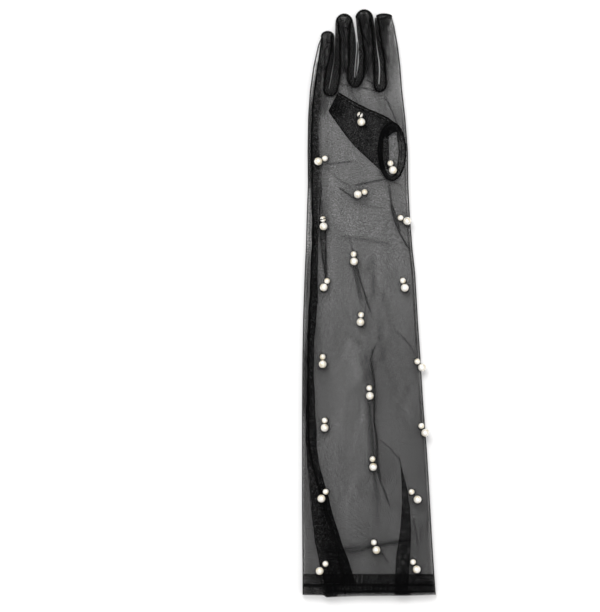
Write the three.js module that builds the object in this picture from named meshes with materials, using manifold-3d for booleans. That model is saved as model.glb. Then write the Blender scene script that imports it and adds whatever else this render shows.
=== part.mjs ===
// A long sheer tulle glove for the left hand, lying back up on a flat surface.
// It is a tulle tube with four finger strips, closed between the fingers by folded gussets (fourchettes),
// with a thumb bag folded under the palm, a turned-up hem, a side seam allowance and 21 pairs of
// sewn-on pearls.
// Units are millimetres, +X towards the index finger, +Y towards the fingertips and +Z up.
// The origin is the centre of the bounding box's base.
import * as THREE from "three";
import { mergeVertices } from "three/addons/utils/BufferGeometryUtils.js";
import Module from "manifold-3d";

const wasm = await Module();
wasm.setup();

// Driving dimensions
const LENGTH = 586; // hem to middle fingertip
const WALL = 1; // tulle with its bunched edges, as a solid wall
const GAP = 0.3; // between pieces that touch
const THUMB_THICKNESS = 3.6; // the thumb bag, folded flat
const HEM_DEPTH = 22; // the turned-up band at the arm opening
const PEARL = { diameter: 8, hole: 1.4, sides: 12, arcs: 5 };
const BEAD = { diameter: 6, hole: 1.2, sides: 10, arcs: 4 };
const HEM_Y = -LENGTH / 2;
const TIP_Y = LENGTH / 2;
const PALM_FLOOR = THUMB_THICKNESS + GAP;
const SKY = 40; // above everything, for cutting prisms
const BESIDE = 90; // further out than either side edge
const KNUCKLES_Y = 206; // below this line the tube is hollow right across
const SEAM_MARGIN = 4.5; // from the tube's left edge to the side seam's strip
const FINGER_CORNER = 12; // from a fingertip down to where the tube's own side edge takes over

// The glove's tube, a row for each section: its side edges, its underside and its top.
const SECTIONS = [
  { y: HEM_Y, left: -66.5, right: 67, floor: 0, top: 12 },
  { y: -272, left: -66.5, right: 65.5, floor: 0, top: 12.2 },
  { y: -233, left: -66.8, right: 63, floor: 0, top: 12 },
  { y: -197, left: -67, right: 61, floor: 0, top: 12.2 },
  { y: -152, left: -67, right: 58.3, floor: 0, top: 12 },
  { y: -98, left: -67, right: 54.2, floor: 0, top: 12.2 },
  { y: -57, left: -66.7, right: 51.7, floor: 0, top: 12 },
  { y: -17, left: -66, right: 49, floor: 0, top: 12.1 },
  { y: 30, left: -64.4, right: 46.3, floor: 0, top: 12 },
  { y: 55, left: -63.2, right: 43.5, floor: 0, top: 12 },
  { y: 90, left: -62.2, right: 40.8, floor: 0, top: 12.2 },
  { y: 118, left: -61.2, right: 39.4, floor: PALM_FLOOR, top: 13 },
  { y: 153, left: -61.5, right: 38.9, floor: PALM_FLOOR, top: 13.4 },
  { y: 186, left: -61, right: 36.3, floor: PALM_FLOOR, top: 13.2 },
  { y: 212, left: -59.2, right: 33.3, floor: PALM_FLOOR, top: 13 },
  { y: 237, left: -55.7, right: 31.4, floor: 2.6, top: 12.6 },
  { y: 257, left: -51.2, right: 29, floor: 1.6, top: 12 },
  { y: 275, left: -45.6, right: 25.8, floor: 0.8, top: 11.4 },
  { y: TIP_Y + 4, left: -40, right: 22, floor: 0.5, top: 11 },
];

// How the tube's side edge rounds over: how far in from the edge, and how far up the thickness.
const EDGE_ROUND = [
  { inset: 0, share: 0.42 },
  { inset: 1.1, share: 0.76 },
  { inset: 3.6, share: 0.95 },
  { inset: 8, share: 1 },
];

// Creases that run along the glove's top, from left to right. A row gives the crest's place,
// its width across and how far it stands up. Where rise is 0 the tulle is smooth.
const CREASES = {
  side_seam: [
    { y: HEM_Y, x: -24, width: 26, rise: 0.9 },
    { y: -240, x: -34, width: 20, rise: 1 },
    { y: -195, x: -46, width: 14, rise: 1.1 },
    { y: -150, x: -58, width: 9, rise: 1 },
    { y: -57, x: -58.5, width: 7, rise: 1 },
    { y: 30, x: -56, width: 7, rise: 1 },
    { y: 83, x: -54.5, width: 7.5, rise: 1.1 },
    { y: 140, x: -56, width: 6, rise: 1 },
    { y: 212, x: -54, width: 5, rise: 0.8 },
    { y: TIP_Y + 4, x: -37, width: 3, rise: 0 },
  ],
  wrist_fold: [
    { y: HEM_Y, x: -6, width: 6, rise: 0 },
    { y: -152, x: -40, width: 6, rise: 0 },
    { y: 0, x: -43, width: 6, rise: 0 },
    { y: 22, x: -43.5, width: 5, rise: 0.9 },
    { y: 70, x: -47, width: 8, rise: 1.2 },
    { y: 90, x: -48, width: 7, rise: 0 },
    { y: 212, x: -44, width: 5, rise: 0 },
    { y: TIP_Y + 4, x: -28, width: 3, rise: 0 },
  ],
  middle_fold: [
    { y: HEM_Y, x: 20, width: 6, rise: 0 },
    { y: -212, x: 21, width: 6, rise: 0 },
    { y: -180, x: 12, width: 7, rise: 1.2 },
    { y: -152, x: 7.5, width: 6, rise: 1.6 },
    { y: -120, x: 5, width: 6, rise: 1.6 },
    { y: -85, x: 4.5, width: 6, rise: 1.3 },
    { y: -40, x: 0, width: 6, rise: 0 },
    { y: -8, x: 1, width: 7, rise: 0.5 },
    { y: 32, x: -12, width: 7, rise: 1.3 },
    { y: 62, x: -19, width: 6, rise: 0.4 },
    { y: 100, x: -16, width: 6, rise: 0 },
    { y: 212, x: -6, width: 5, rise: 0 },
    { y: TIP_Y + 4, x: -6, width: 4, rise: 0 },
  ],
  outer_fold: [
    { y: HEM_Y, x: 32, width: 15, rise: 0.9 },
    { y: -240, x: 32, width: 13, rise: 1.2 },
    { y: -185, x: 34.5, width: 8, rise: 1.2 },
    { y: -148, x: 29, width: 6, rise: 0.3 },
    { y: -98, x: 32, width: 6, rise: 0 },
    { y: 30, x: 33, width: 6, rise: 0 },
    { y: 55, x: 31, width: 6, rise: 0.6 },
    { y: 83, x: 26, width: 7, rise: 1.3 },
    { y: 118, x: 20.5, width: 5, rise: 0.8 },
    { y: 153, x: 17, width: 5, rise: 0 },
    { y: 212, x: 17, width: 5, rise: 0 },
    { y: TIP_Y + 4, x: 13, width: 4, rise: 0 },
  ],
};
const CREST_SHARE = 0.4; // the flat crest's part of a crease's width
const RIPPLE = { height: 0.8, along: 31, across: 17 }; // slack between the creases, in long waves

// The gap between two fingers, a row for each height: the seam on the finger to the left, the slit
// between the two fingers and the seam on the finger to the right. The last row is next to the crotch.
// Each end is at a fingertip, where seam and fold meet the tip's own height.
const FINGER_GAPS = {
  fourchette_little_ring: {
    crotchY: 207.2,
    leftEnd: { seam: -37.2, fold: -34.6, y: 267.2 },
    rightEnd: { seam: -30.9, fold: -33.6, y: 280.2 },
    rows: [
      { y: 253, left: -37.2, slit: -34.4, right: -28.6 },
      { y: 237, left: -41.5, slit: -36, right: -29 },
      { y: 223, left: -44, slit: -38.3, right: -30.3 },
      { y: 214, left: -44.8, slit: -39.6, right: -32.4 },
    ],
  },
  fourchette_ring_middle: {
    crotchY: 215.9,
    leftEnd: { seam: -18.8, fold: -15.4, y: 280.2 },
    rightEnd: { seam: -9.8, fold: -12.9, y: 285.7 },
    rows: [
      { y: 268, left: -20, slit: -12.5, right: -7.4 },
      { y: 253, left: -19.6, slit: -12.6, right: -5.2 },
      { y: 237, left: -20.6, slit: -13.4, right: -4.4 },
      { y: 223, left: -21.6, slit: -14.2, right: -6.8 },
    ],
  },
  fourchette_middle_index: {
    crotchY: 211.8,
    leftEnd: { seam: 1.4, fold: 4, y: 285.7 },
    rightEnd: { seam: 9.6, fold: 6.6, y: 285.7 },
    rows: [
      { y: 268, left: 4, slit: 6.8, right: 11 },
      { y: 253, left: 5, slit: 7.8, right: 13.6 },
      { y: 237, left: 5.4, slit: 8.8, right: 15.6 },
      { y: 219, left: 4.8, slit: 10, right: 17 },
    ],
  },
};
const CROTCH_STEPS = 6; // round the bottom of each gap
const SLIT = 0.8; // between the two folds of one fourchette

// Fingertips from left to right: the tip's height, where its sides end and how far it rounds down.
const FINGERTIPS = [
  { y: 270.6, left: -47, right: -36, round: 3 },
  { y: 288.1, left: -32.4, right: -18.2, round: 7.6 },
  { y: TIP_Y, left: -12.4, right: 2.6, round: 7 },
  { y: 288.6, left: 8, right: 22.6, round: 2.6 },
];
const TIP_STEPS = 6;

// The thumb hole's seam, an upright oval at the palm's index side, and the folded thumb's outline, from
// inside the oval along its upper edge to the tip and back along its lower edge.
const THUMB_OVAL = { x: 23, y: 151.7, across: 27.6, along: 58, sides: 20 };
const THUMB_OUTLINE = [
  { x: 26.4, y: 179.1 },
  { x: 18.1, y: 186.5 },
  { x: -5.2, y: 195.6 },
  { x: -30.9, y: 211 },
  { x: -40.6, y: 192.2 },
  { x: -29.2, y: 175.7 },
  { x: -17.6, y: 160 },
  { x: -2.7, y: 145.9 },
  { x: 10.6, y: 133.4 },
];
const THUMB_EDGE = 0.9; // bevel of the folded bag's edge

// The pearls: where the large one sits, and how far from it its small bead lies.
const PEARLS = [
  { x: -7.8, y: 180.7, toBeadX: -1.1, toBeadY: 5.8 },
  { x: -50.8, y: 141.3, toBeadX: 6.1, toBeadY: 2.8 },
  { x: 23.7, y: 132.6, toBeadX: -2.2, toBeadY: 6.2 },
  { x: -11.4, y: 108.5, toBeadX: 5.8, toBeadY: 2 },
  { x: -45.5, y: 76.5, toBeadX: -0.5, toBeadY: 5.7 },
  { x: 38, y: 81.9, toBeadX: -6.7, toBeadY: 3.2 },
  { x: -15.1, y: 41.5, toBeadX: -0.4, toBeadY: 6.7 },
  { x: -45.4, y: 15.6, toBeadX: 2.9, toBeadY: 5.4 },
  { x: 35.5, y: 15.2, toBeadX: -1.9, toBeadY: 7.2 },
  { x: -8.7, y: -19, toBeadX: 0.6, toBeadY: 7.2 },
  { x: -46.4, y: -61.1, toBeadX: 0, toBeadY: 5.8 },
  { x: 52.9, y: -64.4, toBeadX: -4.8, toBeadY: 6 },
  { x: 0.7, y: -92.7, toBeadX: -0.6, toBeadY: 7.8 },
  { x: -44.5, y: -124.6, toBeadX: 0.1, toBeadY: 7.1 },
  { x: 56, y: -129.6, toBeadX: -3.9, toBeadY: 6.9 },
  { x: 4, y: -163.7, toBeadX: -0.6, toBeadY: 7.8 },
  { x: -47.7, y: -195.2, toBeadX: 4.4, toBeadY: 6.8 },
  { x: 48.3, y: -196.1, toBeadX: -5.9, toBeadY: 7.5 },
  { x: 7.3, y: -246.6, toBeadX: -2.6, toBeadY: 7.6 },
  { x: -49.4, y: -267.5, toBeadX: 5.8, toBeadY: 7.1 },
  { x: 47.5, y: -265.9, toBeadX: -3.6, toBeadY: 7.3 },
];

const tulle = new THREE.MeshStandardMaterial({ color: 0x1b1b1d, roughness: 0.8, metalness: 0 });
const seamTulle = new THREE.MeshStandardMaterial({ color: 0x0c0c0d, roughness: 0.85, metalness: 0 });
const pearlCoat = new THREE.MeshStandardMaterial({ color: 0xf3ede0, roughness: 0.22, metalness: 0 });

// A table's row at y, each column worked out in a straight line between the rows on either side.
function rowAt(table, y) {
  const rising = table[0].y < table[table.length - 1].y ? table : [...table].reverse();
  let i = 0;
  while (i < rising.length - 2 && y > rising[i + 1].y) i++;
  const [low, high] = [rising[i], rising[i + 1]];
  const t = THREE.MathUtils.clamp((y - low.y) / (high.y - low.y), 0, 1);
  const row = {};
  for (const key of Object.keys(low)) row[key] = THREE.MathUtils.lerp(low[key], high[key], t);
  return row;
}

// Every height at which a table of the tube changes, so that the loft has a section there.
function sectionHeights() {
  const heights = new Set(SECTIONS.map((row) => row.y));
  for (const rows of Object.values(CREASES)) rows.forEach((row) => heights.add(row.y));
  return [...heights].sort((a, b) => a - b);
}

// The tube's side, from its edge inwards: points of the rounded edge at a share of the thickness.
function edgePoints(section, side, upper) {
  const { left, right, floor, top } = section;
  const middle = floor + EDGE_ROUND[0].share * (top - floor);
  return EDGE_ROUND.map(({ inset, share }) => {
    const rise = (share - EDGE_ROUND[0].share) / (1 - EDGE_ROUND[0].share);
    return {
      x: side < 0 ? left + inset : right - inset,
      z: upper ? middle + rise * (top - middle) : middle - rise * (middle - floor),
    };
  });
}

// The height just under the top sheet at a place near the left edge, where the tube rounds over.
function underTopSheet(x, y) {
  const { left, floor, top } = rowAt(SECTIONS, y);
  const inset = x - left - WALL;
  const beyond = EDGE_ROUND.findIndex((row) => row.inset > inset);
  let share = 1;
  if (beyond > 0) {
    const [low, high] = [EDGE_ROUND[beyond - 1], EDGE_ROUND[beyond]];
    share = THREE.MathUtils.mapLinear(inset, low.inset, high.inset, low.share, high.share);
  }
  return floor + WALL + share * (top - floor - 2 * WALL) - GAP;
}

// The slack of the tulle away from its edges, which the creases stand on.
function ripple(x, y, section) {
  const inFromEdge = Math.min(x - section.left, section.right - x);
  const fade = THREE.MathUtils.smoothstep(inFromEdge, 6, 16);
  const wave = Math.sin(y / RIPPLE.along + x / 40) * Math.cos(x / RIPPLE.across);
  return RIPPLE.height * fade * (0.5 + 0.5 * wave);
}

// The top of one section from left to right, with the creases in it.
function topLine(y) {
  const section = rowAt(SECTIONS, y);
  const leftEdge = edgePoints(section, -1, true);
  const rightEdge = edgePoints(section, 1, true).reverse();
  const low = leftEdge[leftEdge.length - 1].x;
  const high = rightEdge[0].x;
  const crests = Object.values(CREASES).map((rows) => rowAt(rows, y));
  const between = [];
  let from = low;
  for (const { x, width, rise } of crests) {
    const crest = (width * CREST_SHARE) / 2;
    between.push({ x: (from + x - width / 2) / 2, rise: 0 });
    between.push({ x: x - width / 2, rise: 0 }, { x: x - crest, rise });
    between.push({ x: x + crest, rise }, { x: x + width / 2, rise: 0 });
    from = x + width / 2;
  }
  between.push({ x: (from * 2 + high) / 3, rise: 0 }, { x: (from + high * 2) / 3, rise: 0 });
  const inner = between.map(({ x, rise }) => ({ x, z: section.top + rise + ripple(x, y, section) }));
  return orderedAcross([...leftEdge, ...inner, ...rightEdge]);
}

// Keeps a line's points at least a step apart from left to right, where a crease nears the edge.
function orderedAcross(points) {
  const STEP = 0.35;
  for (let i = 1; i < points.length; i++) points[i].x = Math.max(points[i].x, points[i - 1].x + STEP);
  for (let i = points.length - 2; i >= 0; i--) points[i].x = Math.min(points[i].x, points[i + 1].x - STEP);
  return points;
}

// The underside of one section from right to left. It lies flat on the surface.
function bottomLine(y) {
  const section = rowAt(SECTIONS, y);
  const rightEdge = edgePoints(section, 1, false).slice(1);
  const leftEdge = edgePoints(section, -1, false).slice(1).reverse();
  const middle = { x: (section.left + section.right) / 2, z: section.floor };
  return [...rightEdge, middle, ...leftEdge];
}

// One smooth ring of the tube's inside, or of a band inside it, a distance in from the outside.
function insideRing(y, inset) {
  const { left, right, floor, top } = rowAt(SECTIONS, y);
  const section = { left: left + inset, right: right - inset, floor: floor + inset, top: top - inset };
  const upper = [...edgePoints(section, -1, true), ...edgePoints(section, 1, true).reverse()];
  const lowerRight = edgePoints(section, 1, false).slice(1);
  const lowerLeft = edgePoints(section, -1, false).slice(1).reverse();
  return [...upper, ...lowerRight, ...lowerLeft].map(({ x, z }) => new THREE.Vector3(x, y, z));
}

function outsideRing(y) {
  return [...topLine(y), ...bottomLine(y)].map(({ x, z }) => new THREE.Vector3(x, y, z));
}

// A closed solid's geometry from rings of the same number of points. Closed rings end where they
// start, as round a band, and open ones get a cap at each end.
function loft(rings, joinEnds = false) {
  const count = rings[0].length;
  const positions = rings.flat().flatMap((p) => p.toArray());
  const index = [];
  const last = joinEnds ? rings.length : rings.length - 1;
  for (let r = 0; r < last; r++) {
    const [here, next] = [r * count, ((r + 1) % rings.length) * count];
    for (let i = 0; i < count; i++) {
      const j = (i + 1) % count;
      index.push(here + i, next + i, next + j, here + i, next + j, here + j);
    }
  }
  if (!joinEnds) {
    const end = (rings.length - 1) * count;
    for (const [a, b, c] of capFaces(rings[0])) index.push(a, b, c);
    for (const [a, b, c] of capFaces(rings[rings.length - 1])) index.push(end + a, end + c, end + b);
  }
  const geometry = new THREE.BufferGeometry();
  geometry.setAttribute("position", new THREE.Float32BufferAttribute(positions, 3));
  geometry.setIndex(index);
  return geometry;
}

// Faces that close a narrow ring. They zip its two sides together from its first and last points,
// always across the shorter diagonal.
function capFaces(ring) {
  const faces = [];
  let [i, j] = [0, ring.length - 1];
  while (j - i > 1) {
    const ahead = ring[i + 1].distanceTo(ring[j]) < ring[i].distanceTo(ring[j - 1]);
    faces.push(ahead ? [i, i + 1, j] : [i, j - 1, j]);
    if (ahead) i++;
    else j--;
  }
  return faces;
}

// A manifold-3d solid of a geometry, turned the right way out, and back.
function solidOf(geometry) {
  const bare = geometry.index ? geometry.toNonIndexed() : geometry.clone();
  for (const name of ["normal", "uv"]) bare.deleteAttribute(name);
  const merged = mergeVertices(bare, 1e-4);
  const vertProperties = new Float32Array(merged.attributes.position.array);
  const triVerts = new Uint32Array(merged.index.array);
  const make = () => new wasm.Manifold(new wasm.Mesh({ numProp: 3, vertProperties, triVerts }));
  const made = make();
  if (made.volume() > 0) return made;
  for (let i = 0; i < triVerts.length; i += 3) {
    [triVerts[i + 1], triVerts[i + 2]] = [triVerts[i + 2], triVerts[i + 1]];
  }
  return make();
}

function geometryOf(solid) {
  const { vertProperties, triVerts } = solid.getMesh();
  const geometry = new THREE.BufferGeometry();
  geometry.setAttribute("position", new THREE.BufferAttribute(vertProperties, 3));
  geometry.setIndex(new THREE.BufferAttribute(triVerts, 1));
  return geometry;
}

// An upright prism over an outline, from one height to another.
function prism(outline, from = -SKY, to = SKY) {
  const shape = new THREE.Shape(outline);
  const geometry = new THREE.ExtrudeGeometry(shape, { depth: to - from, bevelEnabled: false, steps: 1 });
  return solidOf(geometry.translate(0, 0, from));
}

// Everything between two heights.
function slab(from, to) {
  const geometry = new THREE.BoxGeometry(LENGTH, 2 * LENGTH, to - from);
  return solidOf(geometry.translate(0, 0, (from + to) / 2));
}

function meshOf(name, geometry, material) {
  const mesh = new THREE.Mesh(geometry, material);
  mesh.name = name;
  return mesh;
}

// The rails of one finger gap, down the left finger, round the crotch and up the right one. seam is
// where the fourchette is sewn on, and fold where its folded edge faces the slit.
function gapRails({ crotchY, leftEnd, rightEnd, rows }) {
  const rails = [];
  const folded = (row, side) => row.slit + (side * SLIT) / 2;
  rails.push({ seam: [leftEnd.seam, leftEnd.y], fold: [leftEnd.fold, leftEnd.y] });
  for (const row of rows) {
    rails.push({ seam: [row.left, row.y], fold: [folded(row, -1), row.y] });
  }
  const last = rows[rows.length - 1];
  const drop = last.y - crotchY;
  for (let i = 1; i < CROTCH_STEPS; i++) {
    const turn = Math.PI * (1 - i / CROTCH_STEPS);
    const across = (Math.cos(turn) + 1) / 2;
    const down = Math.sin(turn);
    rails.push({
      seam: [THREE.MathUtils.lerp(last.left, last.right, across), last.y - drop * down],
      fold: [last.slit + (SLIT / 2) * Math.cos(turn), last.y - (SLIT / 2) * down],
    });
  }
  for (const row of [...rows].reverse()) {
    rails.push({ seam: [row.right, row.y], fold: [folded(row, 1), row.y] });
  }
  rails.push({ seam: [rightEnd.seam, rightEnd.y], fold: [rightEnd.fold, rightEnd.y] });
  return rails;
}

// The outline of a fingertip from its left seam to its right one.
function tipArc({ y, left, right, round }, inset = 0) {
  const points = [];
  for (let i = 0; i <= TIP_STEPS; i++) {
    const turn = Math.PI * (1 - i / TIP_STEPS);
    const x = THREE.MathUtils.lerp(left, right, (Math.cos(turn) + 1) / 2);
    points.push(new THREE.Vector2(x, y - inset - round * (1 - Math.sin(turn))));
  }
  return points;
}

// The outline that the tulle's two sheets are cut to, with the finger strips and the gaps between them.
function sheetOutline() {
  const below = HEM_Y - 10;
  const [little, index] = [FINGERTIPS[0], FINGERTIPS[3]];
  const outline = [new THREE.Vector2(BESIDE, below), new THREE.Vector2(BESIDE, index.y - FINGER_CORNER)];
  const gaps = Object.values(FINGER_GAPS).reverse();
  [...FINGERTIPS].reverse().forEach((tip, i) => {
    outline.push(...tipArc(tip).reverse());
    if (gaps[i]) {
      const rails = gapRails(gaps[i]).reverse();
      outline.push(...rails.map(({ seam }) => new THREE.Vector2(...seam)));
    }
  });
  outline.push(new THREE.Vector2(-BESIDE, little.y - FINGER_CORNER), new THREE.Vector2(-BESIDE, below));
  return outline;
}

// The hollow of each finger. It runs out through the sides that a fourchette closes, but not the tip.
function fingerHollows() {
  const gaps = Object.values(FINGER_GAPS);
  const REACH = 2.5;
  return FINGERTIPS.map((tip, i) => {
    const outline = [];
    const rootY = KNUCKLES_Y - 6;
    const leftRows = gaps[i - 1] ? gaps[i - 1].rows.map((row) => ({ x: row.right - REACH, y: row.y })) : [];
    const rightRows = gaps[i] ? gaps[i].rows.map((row) => ({ x: row.left + REACH, y: row.y })) : [];
    const rootLeft = leftRows.length ? leftRows[leftRows.length - 1].x : -BESIDE;
    const rootRight = rightRows.length ? rightRows[rightRows.length - 1].x : BESIDE;
    outline.push(new THREE.Vector2(rootRight, rootY));
    outline.push(...[...rightRows].reverse().map(({ x, y }) => new THREE.Vector2(x, y)));
    if (!rightRows.length) outline.push(new THREE.Vector2(BESIDE, tip.y - tip.round - WALL));
    outline.push(...tipArc(tip, WALL * 1.4).reverse());
    if (!leftRows.length) outline.push(new THREE.Vector2(-BESIDE, tip.y - tip.round - WALL));
    outline.push(...leftRows.map(({ x, y }) => new THREE.Vector2(x, y)));
    outline.push(new THREE.Vector2(rootLeft, rootY));
    return prism(outline);
  });
}

function ovalOutline({ x, y, across, along, sides }, margin = 0) {
  return Array.from({ length: sides }, (_, i) => {
    const turn = (2 * Math.PI * i) / sides;
    const [a, b] = [across / 2 + margin, along / 2 + margin];
    return new THREE.Vector2(x + a * Math.cos(turn), y + b * Math.sin(turn));
  });
}

// The trank: the one cut piece of tulle that makes the arm, the hand and both sides of the fingers.
function trank() {
  const heights = sectionHeights();
  const outside = solidOf(loft(heights.map(outsideRing)));
  const hollowHeights = [HEM_Y - 5, ...SECTIONS.map((row) => row.y)];
  const hollow = solidOf(loft(hollowHeights.map((y) => insideRing(y, WALL))));
  const body = prism([
    new THREE.Vector2(-BESIDE, HEM_Y - 20),
    new THREE.Vector2(BESIDE, HEM_Y - 20),
    new THREE.Vector2(BESIDE, KNUCKLES_Y),
    new THREE.Vector2(-BESIDE, KNUCKLES_Y),
  ]);
  const room = fingerHollows().reduce((all, finger) => all.add(finger), body);
  const thumbHole = prism(ovalOutline(THUMB_OVAL, -WALL), -SKY, PALM_FLOOR + WALL * 2);
  const cut = outside.intersect(prism(sheetOutline())).subtract(hollow.intersect(room));
  return meshOf("trank", geometryOf(cut.subtract(thumbHole)), tulle);
}

// A fourchette: one strip of tulle folded lengthwise, sewn down one finger and up the next.
function fourchette(name) {
  const rings = gapRails(FINGER_GAPS[name]).map(({ seam, fold }) => {
    const { floor, top } = rowAt(SECTIONS, seam[1]);
    const toFold = new THREE.Vector2(fold[0] - seam[0], fold[1] - seam[1]);
    const along = toFold.clone().normalize();
    const start = new THREE.Vector2(...seam).addScaledVector(along, GAP);
    const tip = new THREE.Vector2(...fold);
    const innerTip = new THREE.Vector2(...fold).addScaledVector(along, -WALL * 1.5);
    const middle = (floor + top) / 2;
    const at = (p, z) => new THREE.Vector3(p.x, p.y, z);
    return [
      at(start, top),
      at(tip, middle + WALL / 2),
      at(tip, middle - WALL / 2),
      at(start, floor),
      at(start, floor + WALL * 1.3),
      at(innerTip, middle),
      at(start, top - WALL * 1.3),
    ];
  });
  return meshOf(name, geometryOf(solidOf(loft(rings))), seamTulle);
}

// The thumb: a flat bag under the palm, open upwards where the thumb goes in through the oval seam.
function thumb() {
  const folded = THUMB_OUTLINE.map(({ x, y }) => new THREE.Vector2(x, y));
  const bag = (inset, from, to) => {
    const settings = {
      depth: to - from - 2 * THUMB_EDGE,
      steps: 1,
      bevelThickness: THUMB_EDGE,
      bevelSize: THUMB_EDGE,
      bevelOffset: -inset - THUMB_EDGE,
      bevelSegments: 1,
    };
    const plate = (outline) => {
      const geometry = new THREE.ExtrudeGeometry(new THREE.Shape(outline), settings);
      return solidOf(geometry.translate(0, 0, from + THUMB_EDGE));
    };
    return plate(folded).add(plate(ovalOutline(THUMB_OVAL)));
  };
  const outside = bag(0, 0, THUMB_THICKNESS);
  const between = slab(WALL, THUMB_THICKNESS - WALL);
  const inside = bag(WALL, -THUMB_THICKNESS, 2 * THUMB_THICKNESS).intersect(between);
  const mouth = prism(ovalOutline(THUMB_OVAL, -WALL), WALL * 1.5, SKY);
  return meshOf("thumb", geometryOf(outside.subtract(inside).subtract(mouth)), tulle);
}

// The hem: the tulle turned up inside the arm opening, as a flat band all round.
function hemBand() {
  const [mouth, edge] = [HEM_Y + 0.5, HEM_Y + HEM_DEPTH];
  const rings = [
    insideRing(mouth, WALL + GAP),
    insideRing(edge, WALL + GAP),
    insideRing(edge, 2 * WALL + GAP),
    insideRing(mouth, 2 * WALL + GAP),
  ];
  return meshOf("hem_band", geometryOf(solidOf(loft(rings, true))), seamTulle);
}

// The side seam's allowance, a strip inside the top sheet that widens to a wedge towards the hem.
function sideSeam() {
  const ends = { from: HEM_Y + HEM_DEPTH + GAP, to: FINGERTIPS[0].y - FINGER_CORNER };
  const tabled = [...CREASES.side_seam, ...SECTIONS].map((row) => row.y);
  const heights = [ends.from, ...tabled, ends.to]
    .filter((y, i, all) => y >= ends.from && y <= ends.to && all.indexOf(y) === i)
    .sort((a, b) => a - b);
  const rings = heights.map((y) => {
    const { x, width } = rowAt(CREASES.side_seam, y);
    const { left } = rowAt(SECTIONS, y);
    const from = Math.max(x - width / 2, left + SEAM_MARGIN);
    const to = x + width / 2;
    const [fromTop, toTop] = [underTopSheet(from, y), underTopSheet(to, y)];
    const corners = [
      [from, fromTop],
      [to, toTop],
      [to, toTop - WALL],
      [from, fromTop - WALL],
    ];
    return corners.map(([cornerX, z]) => new THREE.Vector3(cornerX, y, z));
  });
  return meshOf("side_seam", geometryOf(solidOf(loft(rings))), seamTulle);
}

// The height of the glove's outside at a place, from the same sections as the loft.
function topAt(x, y) {
  const heights = sectionHeights();
  let i = 0;
  while (i < heights.length - 2 && y > heights[i + 1]) i++;
  const [low, high] = [topLine(heights[i]), topLine(heights[i + 1])];
  const t = THREE.MathUtils.clamp((y - heights[i]) / (heights[i + 1] - heights[i]), 0, 1);
  const line = low.map((p, k) => ({
    x: THREE.MathUtils.lerp(p.x, high[k].x, t),
    z: THREE.MathUtils.lerp(p.z, high[k].z, t),
  }));
  if (x < line[0].x || x > line[line.length - 1].x) return -Infinity;
  let k = 0;
  while (k < line.length - 2 && x > line[k + 1].x) k++;
  const share = (x - line[k].x) / (line[k + 1].x - line[k].x);
  return THREE.MathUtils.lerp(line[k].z, line[k + 1].z, share);
}

// How high a ball's centre sits over the tulle, clear of the creases round it.
function seatHeight(x, y, radius) {
  const RINGS = 5;
  const SPOKES = 16;
  let height = topAt(x, y) + radius;
  for (let r = 1; r <= RINGS; r++) {
    const away = (radius * r) / (RINGS + 0.5);
    for (let s = 0; s < SPOKES; s++) {
      const turn = (2 * Math.PI * s) / SPOKES;
      const under = topAt(x + away * Math.cos(turn), y + away * Math.sin(turn));
      height = Math.max(height, under + Math.sqrt(radius ** 2 - away ** 2));
    }
  }
  return height + GAP;
}

// A drilled ball. Its hole runs along Y until the mesh is turned.
function drilledBall({ diameter, hole, sides, arcs }) {
  const radius = diameter / 2;
  const start = Math.asin(hole / 2 / radius);
  const profile = [];
  for (let i = 0; i <= arcs; i++) {
    const turn = start + ((Math.PI - 2 * start) * i) / arcs;
    profile.push(new THREE.Vector2(radius * Math.sin(turn), -radius * Math.cos(turn)));
  }
  profile.push(profile[0].clone());
  const geometry = geometryOf(solidOf(new THREE.LatheGeometry(profile, sides)));
  return geometry;
}

// Each pair is a pearl and a smaller bead on one thread, which runs through both along their line.
function pearlPairs() {
  const group = new THREE.Group();
  const pearlGeometry = drilledBall(PEARL);
  const beadGeometry = drilledBall(BEAD);
  const [pearlRadius, beadRadius] = [PEARL.diameter / 2, BEAD.diameter / 2];
  const closest = pearlRadius + beadRadius + GAP;
  PEARLS.forEach(({ x, y, toBeadX, toBeadY }, i) => {
    const number = String(i + 1).padStart(2, "0");
    const line = new THREE.Vector2(toBeadX, toBeadY);
    line.setLength(Math.max(line.length(), closest));
    const beadPlace = { x: x + line.x, y: y + line.y };
    const places = [
      ["pearl_" + number, pearlGeometry, x, y, pearlRadius],
      ["bead_" + number, beadGeometry, beadPlace.x, beadPlace.y, beadRadius],
    ];
    for (const [name, geometry, px, py, radius] of places) {
      const ball = meshOf(name, geometry, pearlCoat);
      ball.position.set(px, py, seatHeight(px, py, radius));
      ball.rotation.z = line.angle() - Math.PI / 2;
      group.add(ball);
    }
  });
  return group;
}

const glove = new THREE.Group();
glove.add(trank(), thumb(), hemBand(), sideSeam());
for (const name of Object.keys(FINGER_GAPS)) glove.add(fourchette(name));
glove.add(pearlPairs());

export default glove;
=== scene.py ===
"""A long sheer tulle glove, lying back up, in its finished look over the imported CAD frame.

Sizes are millimetres in the part's own frame, and become metres where a mesh is made.
"""

import math
import random

import bmesh
import bpy
import numpy as np
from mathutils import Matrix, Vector, geometry, noise
from mathutils.bvhtree import BVHTree


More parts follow.
